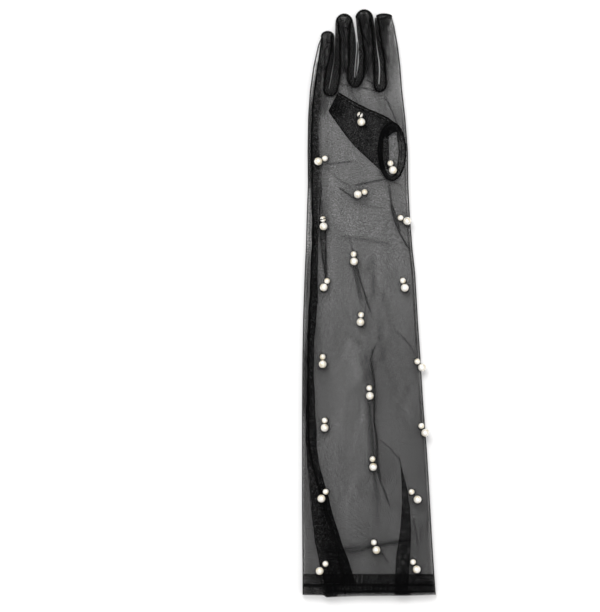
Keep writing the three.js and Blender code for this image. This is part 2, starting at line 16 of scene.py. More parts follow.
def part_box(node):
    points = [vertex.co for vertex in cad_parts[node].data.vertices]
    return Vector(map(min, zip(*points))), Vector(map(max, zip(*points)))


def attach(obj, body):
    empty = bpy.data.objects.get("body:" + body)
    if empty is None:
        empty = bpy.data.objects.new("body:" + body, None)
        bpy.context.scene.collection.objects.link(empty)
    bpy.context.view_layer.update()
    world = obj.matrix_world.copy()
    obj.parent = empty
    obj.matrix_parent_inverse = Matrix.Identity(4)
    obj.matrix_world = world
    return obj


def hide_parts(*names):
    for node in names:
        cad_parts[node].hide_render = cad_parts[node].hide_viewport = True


MM = 0.001
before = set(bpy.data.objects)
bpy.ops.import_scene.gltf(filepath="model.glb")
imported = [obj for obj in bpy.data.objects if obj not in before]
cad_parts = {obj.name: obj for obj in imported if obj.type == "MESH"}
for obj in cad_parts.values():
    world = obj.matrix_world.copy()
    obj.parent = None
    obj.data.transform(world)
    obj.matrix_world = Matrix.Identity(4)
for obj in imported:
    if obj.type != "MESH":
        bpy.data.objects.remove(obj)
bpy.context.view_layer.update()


def table(names, *rows):
    """A short table as columns by name."""
    return dict(zip(names.split(), np.array(rows, float).T))


def at(columns, name, y):
    """A column's value at a height, in a straight line between its rows."""
    return np.interp(y, columns["y"], columns[name])


def line_down(columns, name, y):
    """A column as a line of points at these heights."""
    return np.stack([at(columns, name, y), y], 1)


# The glove's tube, as in the CAD: side edges, underside and top at each height.
HEM_Y = -293
TIP_Y = 293
SECTIONS = table(
    "y left right floor top",
    (-293, -66.5, 67, 0, 12),
    (-272, -66.5, 65.5, 0, 12.2),
    (-233, -66.8, 63, 0, 12),
    (-197, -67, 61, 0, 12.2),
    (-152, -67, 58.3, 0, 12),
    (-98, -67, 54.2, 0, 12.2),
    (-57, -66.7, 51.7, 0, 12),
    (-17, -66, 49, 0, 12.1),
    (30, -64.4, 46.3, 0, 12),
    (55, -63.2, 43.5, 0, 12),
    (90, -62.2, 40.8, 0, 12.2),
    (118, -61.2, 39.4, 3.9, 13),
    (153, -61.5, 38.9, 3.9, 13.4),
    (186, -61, 36.3, 3.9, 13.2),
    (212, -59.2, 33.3, 3.9, 13),
    (237, -55.7, 31.4, 2.6, 12.6),
    (257, -51.2, 29, 1.6, 12),
    (275, -45.6, 25.8, 0.8, 11.4),
    (297, -40, 22, 0.5, 11),
)
# The hem's lower edge, which dips where the wide seam allowance is turned up with it.
HEM_EDGE = table(
    "x y",
    (-67, -291.9),
    (-44.6, -292.3),
    (-43.4, -294.2),
    (-12, -293),
    (40, -292.5),
    (67, -291.7),
)
EDGE_HEIGHT = 0.42  # where the side edge lies, as a share of the thickness
EDGE_SOFTNESS = 1.25  # how fast the edge rounds over
FINGER_CORNER = 12  # from a fingertip down to where the tube's own edge takes over
SEAM_DROP = 2.6  # how far a finger's back falls towards its seam

# Extra plies' worth of tulle at each height, where the cloth is slack and lies closer.
BUNCHING = table(
    "y plies",
    (-293, 0.24),
    (-220, 0.22),
    (-130, 0.14),
    (-40, 0.12),
    (30, 0.04),
    (90, 0.02),
    (150, 0),
    (190, -0.05),
    (210, -0.16),
    (240, -0.05),
)

# Extra plies at each height in the narrow strip between the side seam and the glove's left edge.
EDGE_STRIP = table(
    "y plies",
    (-120, 0),
    (-105, 1.1),
    (-55, 1),
    (-35, 0),
    (45, 0),
    (60, -0.5),
    (100, -0.4),
    (112, 0),
    (125, 2.2),
    (190, 2.2),
    (207, 0.3),
    (215, 0),
)

# The gaps between the fingers: the seam on the left finger, the slit, its width and the seam on the right.
# An end is a seam, a fold and their height, at a fingertip.
FINGER_GAPS = {
    "fourchette_little_ring": {
        "crotch": 207.2,
        "left_end": (-37.2, -34.6, 267.2),
        "right_end": (-30.9, -33.6, 280.2),
        "rows": table(
            "y left slit width right",
            (253, -37.2, -34.3, 0.1, -28.6),
            (241, -40.6, -35.1, 0.25, -28.8),
            (233, -42.2, -36.6, 0.5, -29.2),
            (223, -44, -38.4, 0.6, -30.3),
            (214, -44.8, -40.1, 0.4, -32.4),
        ),
    },
    "fourchette_ring_middle": {
        "crotch": 215.9,
        "left_end": (-18.4, -15.8, 281.2),
        "right_end": (-10, -13.1, 284),
        "rows": table(
            "y left slit width right",
            (268, -20, -12.6, 1.5, -7.4),
            (253, -19.6, -11.2, 2.9, -5.2),
            (237, -20.6, -12.4, 3.8, -4.4),
            (226, -21.6, -13.9, 2, -6.4),
        ),
    },
    "fourchette_middle_index": {
        "crotch": 211.8,
        "left_end": (1.6, 4.4, 284.9),
        "right_end": (8.2, 5.9, 285.4),
        "rows": table(
            "y left slit width right",
            (280, 2.4, 5.3, 0.1, 9.6),
            (266, 4, 6.9, 0.1, 11),
            (253, 5, 8.3, 0.8, 13.6),
            (237, 5.4, 10.8, 1.2, 15.6),
            (219, 4.8, 9.9, 1, 17),
        ),
    },
}
CROTCH_STEPS = 10

# A fold of the ring and middle fingers' fourchette that hangs across its slit.
SLIT_FOLD = table(
    "y left right",
    (224, -14.8, -13.2),
    (229, -14.2, -12.4),
    (237, -13.5, -11.4),
    (245, -12.9, -11),
    (253, -12, -10),
    (262, -12.2, -11.6),
)

# Fingertips from left to right: the tip's height, its sides and how far it rounds down.
FINGERTIPS = [
    {"y": 271.4, "left": -47.4, "right": -35.4, "round": 5},
    {"y": 288.8, "left": -32.6, "right": -16.8, "round": 8.4},
    {"y": TIP_Y, "left": -12.8, "right": 3.4, "round": 8.4},
    {"y": 288.9, "left": 7.4, "right": 22.8, "round": 2.8},
]
TIP_STEPS = 16

# The folded thumb under the palm, and the oval seam where it is set in.
THUMB_OVAL = {"x": 23, "y": 151.7, "across": 27.6, "along": 58}
THUMB_UPPER_EDGE = [(26.4, 179.1), (18.1, 186.5), (-5.2, 195.6), (-30.9, 211)]
THUMB_LOWER_EDGE = [(-40.6, 192.2), (-29.2, 175.7), (-17.6, 160), (-2.7, 145.9), (10.6, 133.4)]
THUMB_MOUTH = [(19.5, 134), (20.3, 152), (19.5, 168), (23, 179.5)]  # where its upper ply ends, in the oval
THUMB_ROOT_X = 12  # its lower ply ends at the oval's seam, to the right of this
THUMB_TIP = (-34, 196)
THUMB_HEIGHT = 3.3
OVAL_CENTRE = np.array([THUMB_OVAL["x"], THUMB_OVAL["y"]])

# The side seam's allowance: its two edges and the line of stitches, widening to a wedge at the hem.
SIDE_SEAM_TOP = 266
SIDE_SEAM = table(
    "y left right line plies",
    (-291, -43.4, -12.4, -23.5, 0.9),
    (-277, -45.3, -14.6, -26.3, 1.1),
    (-257.7, -49.8, -21, -29.6, 1.1),
    (-240, -53.2, -27, -32.8, 1),
    (-219.3, -56.3, -33.3, -39.6, 0.8),
    (-197.5, -58.4, -39.1, -46.3, 0.9),
    (-175, -60.2, -45.6, -52.6, 0.9),
    (-160, -61.6, -50.4, -57, 0.95),
    (-143.6, -62.4, -52.6, -60, 1),
    (-115, -63, -53.6, -61.2, 1),
    (-65, -62.2, -54.6, -60.8, 1.1),
    (-32, -61.4, -54, -60, 1.1),
    (-3, -60.2, -52, -59, 1.1),
    (38, -58.6, -51.6, -57.6, 1.1),
    (60, -57.2, -50.4, -56.2, 1),
    (80, -56.8, -49, -55.6, 0.9),
    (95, -57.2, -47.9, -56.4, 0.7),
    (113, -58, -46.8, -57.2, 0.5),
    (140, -57.8, -47.6, -57.4, 0.6),
    (165, -57.6, -48.4, -57.3, 0.55),
    (190, -57, -48, -56.6, 0.5),
    (212, -55, -45.6, -54.6, 0.35),
    (230, -52.8, -44.8, -52.4, 0.2),
    (244, -50.8, -44.2, -50.4, 0.1),
    (257, -48.6, -44, -48.4, -0.1),
    (266, -47.2, -45.2, -47, -0.8),
)

# The pleat on the other side, folded under from a sharp point down to the hem.
OUTER_PLEAT = table(
    "y left right",
    (-291, 26, 38.7),
    (-273, 26, 39.5),
    (-252, 27.2, 41),
    (-228, 31, 42),
    (-203, 32.8, 40.8),
    (-181, 32.6, 37.1),
    (-163, 31.4, 32.2),
    (-150, 29.4, 29.8),
)


def crease(width, plies, rise, line, narrows=0, fade=0.22):
    """How wide a crease is, how many plies of tulle bunch up in it or, below 0, are thinned away for a
    painted highlight, how high it stands, and its line.

    It narrows along its way by one share, and fades out over another at both ends.
    """
    return {"width": width, "plies": plies, "rise": rise, "line": line, "narrows": narrows, "fade": fade}


# Creases in the back by name: width, plies, rise and line. Plies below 0 thin the tulle into a lit line, a
# painted highlight; the shaded and shadowed sides add plies as painted shade.
CREASES = {
    "middle fold, upper": crease(0.7, 6, 0.5, line=[
        (-16, 52), (-14, 42), (-11.6, 34), (-9.3, 24), (-5, 11), (-1.6, 0), (2.4, -12),
    ]),
    "middle fold, above the pearl": crease(0.5, 3.4, 0.3, [(-19.4, 66), (-17.8, 58.5), (-15.8, 49)]),
    "middle fold, upper, second edge": crease(0.8, 1.5, 0.2, line=[
        (-17, 46), (-15, 33), (-12.2, 15), (-9.3, 4), (-6, -5),
    ]),
    "middle fold, upper, between the edges": crease(2.2, 1.9, 0.4, narrows=0.4, line=[
        (-15, 46), (-13, 30), (-10, 14), (-6, 0),
    ]),
    "middle fold, lower": crease(0.85, 8, 0.5, fade=0.1, line=[
        (6.5, -41.8), (1.5, -53.4), (3.1, -66.7), (5.6, -81.6), (5.2, -106.5), (4.8, -118.9), (8.1, -137.8),
        (7.7, -151.9), (9.4, -168.5), (12, -178),
    ]),
    "middle fold, lower, second edge": crease(1.2, 0.9, 0.2, line=[
        (-9, -48), (-7.6, -56.8), (-3.5, -73.3), (-1, -81.6), (1, -92),
    ]),
    "middle fold, lower, third edge": crease(0.5, 3.8, 0.2, line=[
        (-2, -93), (-1, -99), (1.5, -113.1), (3.1, -123.1), (4, -137), (4.8, -173), (9.8, -191.7),
    ]),
    "middle fold, lower, lit": crease(0.6, -1.2, 0.3, [(2.2, -98), (3.4, -112), (4.6, -124), (5.6, -136)]),
    "middle fold, lower, shaded side": crease(2.2, 1, 0.3, [(-4, -48), (-1.4, -60), (1.4, -74), (3, -86)]),
    "middle fold, smudge above": crease(3, 0.4, 0.4, [(-24, -28), (-15, -36), (-6, -42)]),
    "middle fold, lower, between the edges": crease(2.9, 1.7, 0.5, line=[
        (0.4, -88), (1.3, -108), (1.8, -128), (2.8, -150), (5, -168),
    ]),
    "middle fold, foot": crease(1.3, 0.9, 0.3, [(4, -166), (6.8, -182), (9.3, -202)]),
    "middle fold, foot, line": crease(0.6, 4.4, 0.3, line=[
        (7.4, -158), (8.5, -168.7), (11.8, -180), (14.3, -185), (17.7, -195), (22, -206),
    ]),
    "ring fingertip, slanting": crease(0.6, 5, 0.2, [(-18.6, 286.4), (-24, 281), (-30.4, 274)]),
    "ring fingertip, level": crease(0.5, 9, 0.2, [(-31.4, 276), (-25, 274.6), (-18.2, 274.8)]),
    "middle finger, slanting": crease(0.5, 14, 0.2, [(-7.4, 272), (-5, 266), (-2.6, 260)]),
    "index fingertip, crumpled": crease(0.9, 14, 0.3, line=[
        (7, 284.5), (11.5, 282.6), (16, 285), (21.5, 287.6),
    ]),
    "below the thumb hole, slanting": crease(1.3, 2.6, 0.3, [(9, 134), (14, 127), (20, 122.5), (27, 119)]),
    "little finger's foot, broad": crease(3.2, 2.3, 0.3, line=[
        (-46, 214), (-47, 205), (-48.5, 196), (-50, 186),
    ]),
    "little finger's foot, narrow": crease(1.6, 1.8, 0.3, [(-42, 212), (-44, 203), (-46, 192)]),
    "ring finger's foot": crease(1.8, 1.5, 0.2, [(-36, 224), (-37, 217), (-38, 212)]),
    "left of the middle gap's foot": crease(2, 1.6, 0.2, [(-22, 222), (-20, 216), (-16, 211)]),
    "below the middle gap": crease(2, 1.5, 0.2, [(-20, 214), (-16, 207), (-12, 200), (-9, 196)]),
    "left of the index gap": crease(2, 2, 0.2, [(0, 230), (2, 222), (4, 215)]),
    "index fingertip, shaded": crease(2.6, 3, 0.2, [(12, 287), (18, 286), (23, 284)]),
    "above the wrist bead": crease(2.2, 2.8, 0.2, [(-49, 104), (-48.2, 96), (-47.5, 88)]),
    "wrist fold, index side": crease(0.65, 7.4, 0.4, line=[
        (19.6, 122), (20.4, 113), (21.7, 104), (22.8, 92.9), (25, 84), (28.4, 74.5), (35.2, 61.3), (43, 50),
    ]),
    "wrist fold, index side, second edge": crease(0.55, 5.5, 0.3, line=[
        (21.6, 101), (24.4, 93.8), (26.8, 86.2), (29.2, 77.3), (31.6, 70),
    ]),
    "wrist fold, index side, between the edges": crease(1.3, 2.2, 0.3, [(22.4, 97), (25.6, 86), (29, 76)]),
    "wrist fold, little finger side": crease(0.55, 4.6, 0.4, line=[
        (-49.6, 82), (-48.7, 66), (-47.3, 46.7), (-44.9, 34.2), (-44.1, 20),
    ]),
    "wrist fold, little finger side, flat of it": crease(2.7, 0.5, 0.2, narrows=0.65, line=[
        (-46, 94), (-46.1, 72), (-45.2, 50), (-43.8, 37), (-43, 23),
    ]),
    "wrist fold, little finger side, second edge": crease(0.5, 4.4, 0.2, line=[
        (-43.4, 82), (-43, 66), (-43, 51.6), (-42.6, 38.4), (-42, 20),
    ]),
    "crease over the hem": crease(1.1, 8, 0.3, fade=0.14, line=[
        (-6, -245.6), (2, -243.4), (12, -241.6), (26, -239.2), (42, -237),
    ]),
    "crease over the hem, shadowed side": crease(3.2, 2.6, 0.4, line=[
        (-50, -247), (-34, -248), (-16, -246.4), (4, -243),
    ]),
    "crease over the hem, low strand": crease(0.55, 3.4, 0.1, [(-20, -249.4), (-10, -247.6), (0, -244.6)]),
    "crease over the hem, under the pearl": crease(0.8, 1.8, 0.2, [(10, -247), (15.6, -254), (20, -261)]),
    "palm crease, across": crease(0.55, 3.4, 0.2, line=[
        (-45.4, 138.2), (-36, 139.2), (-27.5, 140.1), (-12.6, 141.7),
    ]),
    "palm crease, slanting": crease(1.1, 0.8, 0.3, line=[
        (-44.4, 137), (-36, 128.6), (-28.6, 121.6), (-16, 115.8),
    ]),
    "palm crease, to the oval": crease(0.75, 5.4, 0.3, line=[
        (-15, 117.4), (-3, 119.8), (6, 121.6), (18, 124.4),
    ]),
    "palm crease, beside the oval": crease(0.8, 2.2, 0.2, [(16, 124.4), (25.6, 121.4), (33, 116)]),
    "palm crease, below the pearl": crease(0.8, 0.9, 0.2, [(-9, 99.6), (2, 96.6), (13, 94)]),
    "palm crease, lit": crease(0.6, -0.6, 0.2, [(12, 92), (22, 93.4), (32, 94)]),
    "palm crease, low": crease(0.6, 6, 0.3, [(-31, 115.8), (-24, 110.8), (-16, 105.4), (-11, 102.6)]),
    "wrist crease": crease(1.9, 0.85, 0.4, [(-32, 66.6), (-16, 64.6), (-4, 63.4), (8, 61.2), (24, 57.6)]),
    "wrist crease, lit": crease(0.5, -0.6, 0.2, [(-4, 62), (6, 71.4), (16, 82)]),
    "wrist crease, second lit": crease(0.5, -0.4, 0.2, [(8, 57), (16, 65.6), (25, 77)]),
    "wrist streak, upper": crease(2.2, 0.4, 0.3, [(3, 54), (4, 36), (5.4, 20), (4.4, -2)]),
    "wrist streak, lower": crease(2.6, 0.35, 0.3, [(13, 16), (17, 4), (18.6, -8), (17, -22)]),
    "knuckle crease, ring finger": crease(0.5, 1.8, 0.2, [(-22, 224), (-21, 212), (-18.8, 203)]),
    "knuckle crease, across": crease(0.5, 7, 0.1, [(-9, 215.6), (-1, 213.6), (7, 211.5), (12, 210.6)]),
    "knuckle crease, lit": crease(0.5, -0.9, 0.1, [(-7, 211.9), (-3, 211.4), (1, 211)]),
    "knuckle crease, slanting": crease(0.5, 4.4, 0.1, [(-4, 223.6), (1, 220.4), (5, 218.4)]),
    "knuckle crease, left": crease(0.45, 4, 0.1, [(-32.6, 219), (-26, 217.8), (-18.6, 217)]),
    "knuckle crease, index finger": crease(0.6, 4.1, 0.3, line=[
        (14.4, 208.6), (17.6, 203), (21.4, 195.6), (25, 187), (28.6, 177),
    ]),
    "knuckle crease, index finger, second edge": crease(0.5, 2.3, 0.2, line=[
        (15.2, 207), (15.8, 199), (17.2, 190),
    ]),
    "knuckle crease, little finger": crease(0.6, 2.8, 0.2, [(-39.6, 205), (-42.4, 196), (-45.4, 186)]),
    "arm crease, low on the index side": crease(0.5, 2.8, 0.2, line=[
        (25, -26), (28.8, -30.2), (36, -36.4), (41.3, -42.7), (47.1, -53.4), (49, -60),
    ]),
    "arm crease, lit": crease(0.6, -0.6, 0.2, [(6, -78), (26, -96), (48, -118.4)]),
    "arm crease, above the pleat": crease(0.5, 2.3, 0.2, line=[
        (8, -135), (16, -140.6), (24, -148), (30.6, -157),
    ]),
    "arm crease, right of the pleat": crease(0.5, 3.6, 0.2, [(44.6, -214), (46.6, -228), (49, -244)]),
    "arm crease, right of the pleat, short": crease(0.5, 3, 0.2, [(54, -220), (50.6, -230), (52, -240)]),
    "arm crease, by the edge": crease(0.5, 2.2, 0.2, [(60, -203), (57.4, -220), (59.6, -234)]),
    "ring fingertip, across": crease(0.6, 2.5, 0.1, [(-32, 275), (-26, 273.6), (-18, 273.8)]),
    "ring fingertip, lit": crease(0.8, -4, 0.3, [(-28.6, 284.6), (-25, 285.6), (-21.4, 284.6)]),
    "ring fingertip, lit below": crease(1, -0.7, 0.2, [(-23.6, 284), (-21.8, 279), (-22.8, 275)]),
    "middle fingertip, lit": crease(0.8, -4.5, 0.3, [(-10, 289.6), (-5.4, 290.3), (-1, 289.6)]),
    "index fingertip, lit left": crease(0.75, -8, 0.4, line=[
        (12.4, 286), (15.4, 286.6), (18, 287), (20.6, 286.6),
    ]),
    "index fingertip, lit right": crease(0.7, -5, 0.4, [(17.6, 287.6), (18.8, 286.6), (20, 285.6)]),
    "index fingertip, dark": crease(0.8, 6, 0.3, [(9, 285.6), (12.6, 284.4), (16.8, 285.6), (22, 288)]),
    "index fingertip, gathered": crease(2.4, 1.1, 0.2, [(9, 281), (15, 280.6), (20.4, 282)]),
    "index fingertip, lit edge": crease(0.7, -1.1, 0.2, [(22, 286), (21.6, 280), (22.4, 272)]),
    "index finger, second line": crease(0.6, 4, 0.2, line=[
        (11, 281), (12, 268), (14.6, 256), (15.8, 240), (17, 226),
    ]),
    "pinky fingertip, fold": crease(0.6, 4, 0.2, [(-38, 266), (-38.6, 258), (-37.6, 252), (-39.4, 244)]),
    "ring finger, fold": crease(0.6, 3.5, 0.2, [(-20.4, 268), (-18.6, 260), (-19.6, 252), (-19, 244)]),
    "middle finger, fold": crease(0.55, 4.5, 0.2, line=[
        (-7.8, 284), (-7.9, 272), (-6.6, 266.4), (-2.6, 263), (-0.6, 256), (0.4, 244),
    ]),
}
# The fold at the wrist by the side seam, which narrows downwards.
WRIST_FOLD = table(
    "y left right",
    (18, -43.6, -42.4),
    (34, -44.9, -42.5),
    (46.7, -47.2, -42.8),
    (60, -48.2, -43),
    (72, -49, -43.1),
    (86, -49.6, -43.3),
)
CREASE_RAILS = (-1.3, -0.5, 0, 0.5, 1.3)  # rows of points on and beside each crease
FAINT_CREASES = {"back_seed": 11, "back": 46, "palm_seed": 12, "palm": 34}
FINGER_CREASES = {"seed": 7, "each": 9}

HEM = {"stitches_y": -282.2, "second_y": -288.6, "pitch": 3.1, "inset": 0.7}
HEM_RINGS = [-292.9, -292.4, -291.4, -290.4, -289.7, -289.2, -288.7, -288.2, -287.2, -285.6, -284.2, -283.4]
HEM_RINGS += [-282.9, -282.4, -281.9, -281.4, -280.6, -279, -277.5, -275, -273, -271.9, -271.2]
HEM_BAND_TOP = -271.2
PEARL = {"radius": 4, "hole": 0.7, "around": 40, "arcs": 22}
BEAD = {"radius": 3, "hole": 0.6, "around": 32, "arcs": 18}
PAIRS = 21
CROSSINGS = ((1, 48), (1, 78), (5, 12))  # threads over beads: the bead's number and the way, in degrees
BALL_LIP = ((0.06, 0.9), (0.5, 0.86))  # how deep in the thread hole, and how wide it still is there
# The sewing thread past a ball: how far out, and how high between the tulle and the ball's centre.
THREAD_ENDS = ((0.75, 0), (0.55, 0.55), (0.1, 0.93))
THREAD_INSIDE = {"bead": (2.4, -2.6), "pearl": (3.6, -3.4)}  # where it enters and leaves each ball
PAINTED_BALL_SHADE = (0.35, -0.45)  # how far the painted dark spot of shade on the tulle lies from the ball over it
PAINTED_BALL_SHADOW = (0.5, -1.4)  # the same for the painted soft shadow round it
THREAD = 0.24  # radius of the sewing thread
SEAM_CORD = 0.75  # radius of an overlocked seam

# Spacing of the net's holes, and how much of the light its threads and its holes keep back.
NET = {"hole": 1.0, "thread": 0.7, "open": 0.08}
# Uneven plies from fine noise: its scale, how strong it is, what is added, and the fewest plies anywhere.
MOTTLE = {"scale": 640, "strength": 3.4, "added": -0.7, "fewest": 0.03}

GRID = 2.1  # between the points of the tulle's mesh
FINE_GRID = 1.5  # the same in the fingers
PALM_COARSER = (1.6, 1.4)  # how many times wider both are in the palm
FINGERS_Y = 200
NEAREST = 0.55  # between points on the feature lines
CLEAR = 0.62  # between those and the grid's points, as a share of the grid
WELD = 0.02  # points nearer than this become one
FAR = 99.0  # stands for a distance that plays no part


# Lines and outlines


def rounded(points, rounds=2):
    """A line with its corners cut twice over, and its ends kept."""
    line = np.asarray(points, float)
    for _ in range(rounds):
        start, end = line[:-1], line[1:]
        cut = np.stack([0.75 * start + 0.25 * end, 0.25 * start + 0.75 * end], 1)
        line = np.vstack([line[:1], cut.reshape(-1, line.shape[1]), line[-1:]])
    return line


def lengths_along(line):
    return np.r_[0, np.cumsum(np.linalg.norm(np.diff(line, axis=0), axis=1))]


def with_count(points, count):
    """A line with this many points, evenly along it."""
    line = np.asarray(points, float)
    lengths = lengths_along(line)
    places = np.linspace(0, lengths[-1], count)
    return np.stack([np.interp(places, lengths, column) for column in line.T], 1)


def spaced(points, step):
    return with_count(points, max(2, round(lengths_along(np.asarray(points, float))[-1] / step) + 1))


def near(points, line):
    """How far each point is from a line, and how far along the line that is, from 0 to 1."""
    start, along = line[:-1], np.diff(line, axis=0)
    away = points[:, None] - start[None]
    share = np.clip((away * along).sum(2) / (along**2).sum(1), 0, 1)
    gaps = np.linalg.norm(away - share[..., None] * along, axis=2)
    best = gaps.argmin(1)
    rows = np.arange(len(points))
    lengths = lengths_along(line)
    reached = lengths[best] + share[rows, best] * np.diff(lengths)[best]
    return gaps[rows, best], reached / lengths[-1]


def inside(points, outline):
    """Whether each point lies inside a closed outline."""
    x, y = points.T
    odd = np.zeros(len(points), bool)
    for (x0, y0), (x1, y1) in zip(outline, np.roll(outline, -1, axis=0)):
        crosses = (y0 > y) != (y1 > y)
        if crosses.any():
            odd ^= crosses & (x < (x1 - x0) * (y - y0) / ((y1 - y0) or 1e-9) + x0)
    return odd


def beside(line, offset):
    """A line moved sideways."""
    along = np.gradient(line, axis=0)
    along /= np.linalg.norm(along, axis=1)[:, None]
    return line + offset * np.stack([-along[:, 1], along[:, 0]], 1)


def smoothstep(value, low, high):
    share = np.clip((value - low) / (high - low), 0, 1)
    return share * share * (3 - 2 * share)


def bell(value, width):
    """1 where the value is 0, falling to about a third at this width on both sides."""
    return np.exp(-((value / width) ** 2))


def gap_side(gap, side, way):
    """The seam and the fold along one finger, from its tip down to the crotch."""
    rows = gap["rows"]
    seam_x, fold_x, y = gap[side + "_end"]
    seam = [(seam_x, y), *zip(rows[side], rows["y"])]
    fold = [(fold_x, y), *zip(rows["slit"] + way * rows["width"] / 2, rows["y"])]
    return seam, fold


def gap_rails(gap):
    """The seam and the fold of one fourchette, down one finger, round the crotch and up the next."""
    seam, fold = gap_side(gap, "left", -1)
    up_seam, up_fold = gap_side(gap, "right", 1)
    foot = {name: column[-1] for name, column in gap["rows"].items()}
    left, right, slit, width, low = (foot[name] for name in ("left", "right", "slit", "width", "y"))
    for i in range(1, CROTCH_STEPS):
        turn = math.pi * (1 - i / CROTCH_STEPS)
        across = (math.cos(turn) + 1) / 2
        seam.append((left + (right - left) * across, low - (low - gap["crotch"]) * math.sin(turn)))
        fold.append((slit + width / 2 * math.cos(turn), low - width / 2 * math.sin(turn)))
    seam = rounded(seam + up_seam[::-1])
    seam[:, 0] += [1.1 * noise.noise(Vector((x / 9, y / 7, 5))) for x, y in seam]
    return seam, rounded(fold + up_fold[::-1])


def tip_arc(tip):
    """The rounded end of one finger, from left to right."""
    turns = np.linspace(math.pi, 0, TIP_STEPS + 1)
    x = tip["left"] + (tip["right"] - tip["left"]) * (np.cos(turns) + 1) / 2
    return np.stack([x, tip["y"] - tip["round"] * (1 - np.sin(turns))], 1)


def side_edge(side, low, high, step=2.2):
    """A side of the tube, from one height up to another."""
    return line_down(SECTIONS, side, np.linspace(low, high, max(2, round((high - low) / step) + 1)))


def oval(margin=0, count=64):
    """The thumb hole's seam, or a line outside it by a margin."""
    turns = np.linspace(0, 2 * math.pi, count, endpoint=False)
    across, along = THUMB_OVAL["across"] / 2 + margin, THUMB_OVAL["along"] / 2 + margin
    return np.stack([THUMB_OVAL["x"] + across * np.cos(turns), THUMB_OVAL["y"] + along * np.sin(turns)], 1)


RAILS = {name: gap_rails(gap) for name, gap in FINGER_GAPS.items()}
TIPS = [tip_arc(tip) for tip in FINGERTIPS]


def hem_edge(x):
    return np.interp(x, HEM_EDGE["x"], HEM_EDGE["y"])


def sheet_outline():
    """The outline of the tulle's two sheets, with the finger strips."""
    parts = [side_edge("left", hem_edge(-67), FINGERTIPS[0]["y"] - FINGER_CORNER)]
    seams = [spaced(seam, 1.5)[1:-1] for seam, _ in RAILS.values()]
    for i, tip in enumerate(TIPS):
        parts.append(tip)
        if i < len(seams):
            parts.append(seams[i])
    parts.append(side_edge("right", hem_edge(67), FINGERTIPS[3]["y"] - FINGER_CORNER)[::-1])
    hem = np.linspace(at(SECTIONS, "right", HEM_Y), at(SECTIONS, "left", HEM_Y), 90)[1:-1]
    parts.append(np.stack([hem, hem_edge(hem)], 1))
    return np.vstack(parts)


OUTLINE = sheet_outline()


# Flat meshes


def cell_of(x, y, size):
    return int(x // size), int(y // size)


def crowded(x, y, cells, size, least):
    """Whether a point lies nearer than this to one that is filed in the cells round it."""
    column, row = cell_of(x, y, size)
    return any(
        (x - a) ** 2 + (y - b) ** 2 < least**2
        for i in (-1, 0, 1)
        for j in (-1, 0, 1)
        for a, b in cells.get((column + i, row + j), ())
    )


def thinned(points, taken):
    """The points that lie clear of each other and of those already taken."""
    kept = []
    for x, y in points:
        if not crowded(x, y, taken, NEAREST, NEAREST):
            taken.setdefault(cell_of(x, y, NEAREST), []).append((x, y))
            kept.append((x, y))
    return kept


def even_grid(low, high, step):
    """Points in staggered rows."""
    rows = np.arange(low[1], high[1], step * 0.866)
    grid = [
        (x + (step / 2 if i % 2 else 0), y)
        for i, y in enumerate(rows)
        for x in np.arange(low[0], high[0], step)
    ]
    return np.array(grid)


def flat_mesh(outline, features, step, fine_step, hole=None):
    """A mesh of triangles inside an outline: points on the feature lines, and an even grid between."""
    loops = [outline] if hole is None else [outline, hole]
    fixed = np.vstack(loops)
    taken = {}
    thinned(fixed, taken)
    extra = []
    for line in features:
        extra += thinned(line[inside(line, outline)], taken)
    low, high = outline.min(0), outline.max(0)
    split = min(FINGERS_Y, high[1])
    grids = [(even_grid(low, (high[0], split), step), step)]
    if high[1] > FINGERS_Y:
        grids.append((even_grid((low[0], split), high, fine_step), fine_step))
    near_fixed = {}
    for x, y in [*fixed.tolist(), *extra]:
        near_fixed.setdefault(cell_of(x, y, step), []).append((x, y))
    for grid, size in grids:
        inner = grid[inside(grid, outline)].tolist()
        extra += [(x, y) for x, y in inner if not crowded(x, y, near_fixed, step, CLEAR * size)]
    points = np.vstack([fixed, np.array(extra)])
    edges, start = [], 0
    for loop in loops:
        edges += [(start + i, start + (i + 1) % len(loop)) for i in range(len(loop))]
        start += len(loop)
    places, _, faces, *_ = geometry.delaunay_2d_cdt(
        [Vector(p) for p in points.tolist()], edges, [], 0, 1e-6, False
    )
    places = np.array([tuple(p) for p in places])
    faces = np.array([f for f in faces if len(f) == 3])
    middles = places[faces].mean(1)
    kept = inside(middles, outline)
    if hole is not None:
        kept &= ~inside(middles, hole)
    return places, faces[kept]


def strip_mesh(left, right, across):
    """Quads between two lines of as many points, and each point's share of the way across."""
    shares = np.linspace(0, 1, across + 1)[:, None]
    points = (left[:, None] * (1 - shares) + right[:, None] * shares).reshape(-1, left.shape[1])
    wide = across + 1
    faces = [
        (r * wide + c, r * wide + c + 1, (r + 1) * wide + c + 1, (r + 1) * wide + c)
        for r in range(len(left) - 1)
        for c in range(across)
    ]
    return points, faces, np.tile(shares[:, 0], len(left))


# Heights of the tulle

trank_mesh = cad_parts["trank"].data
TRANK = BVHTree.FromPolygons(
    [v.co / MM for v in trank_mesh.vertices], [tuple(p.vertices) for p in trank_mesh.polygons]
)


def cad_top(points, fallback):
    """The height of the CAD trank's outside, straight down at each point."""
    found = np.array(fallback, float)
    for i, (x, y) in enumerate(points):
        place, *_ = TRANK.ray_cast(Vector((x, y, 60)), Vector((0, 0, -1)))
        if place is not None:
            found[i] = place.z
    return found


def soft_noise(points, across, along, seed):
    """Smooth noise from about -0.5 to 0.5, longer along the arm than across it."""
    return np.array([noise.noise(Vector((x / across, y / along, seed))) for x, y in points])


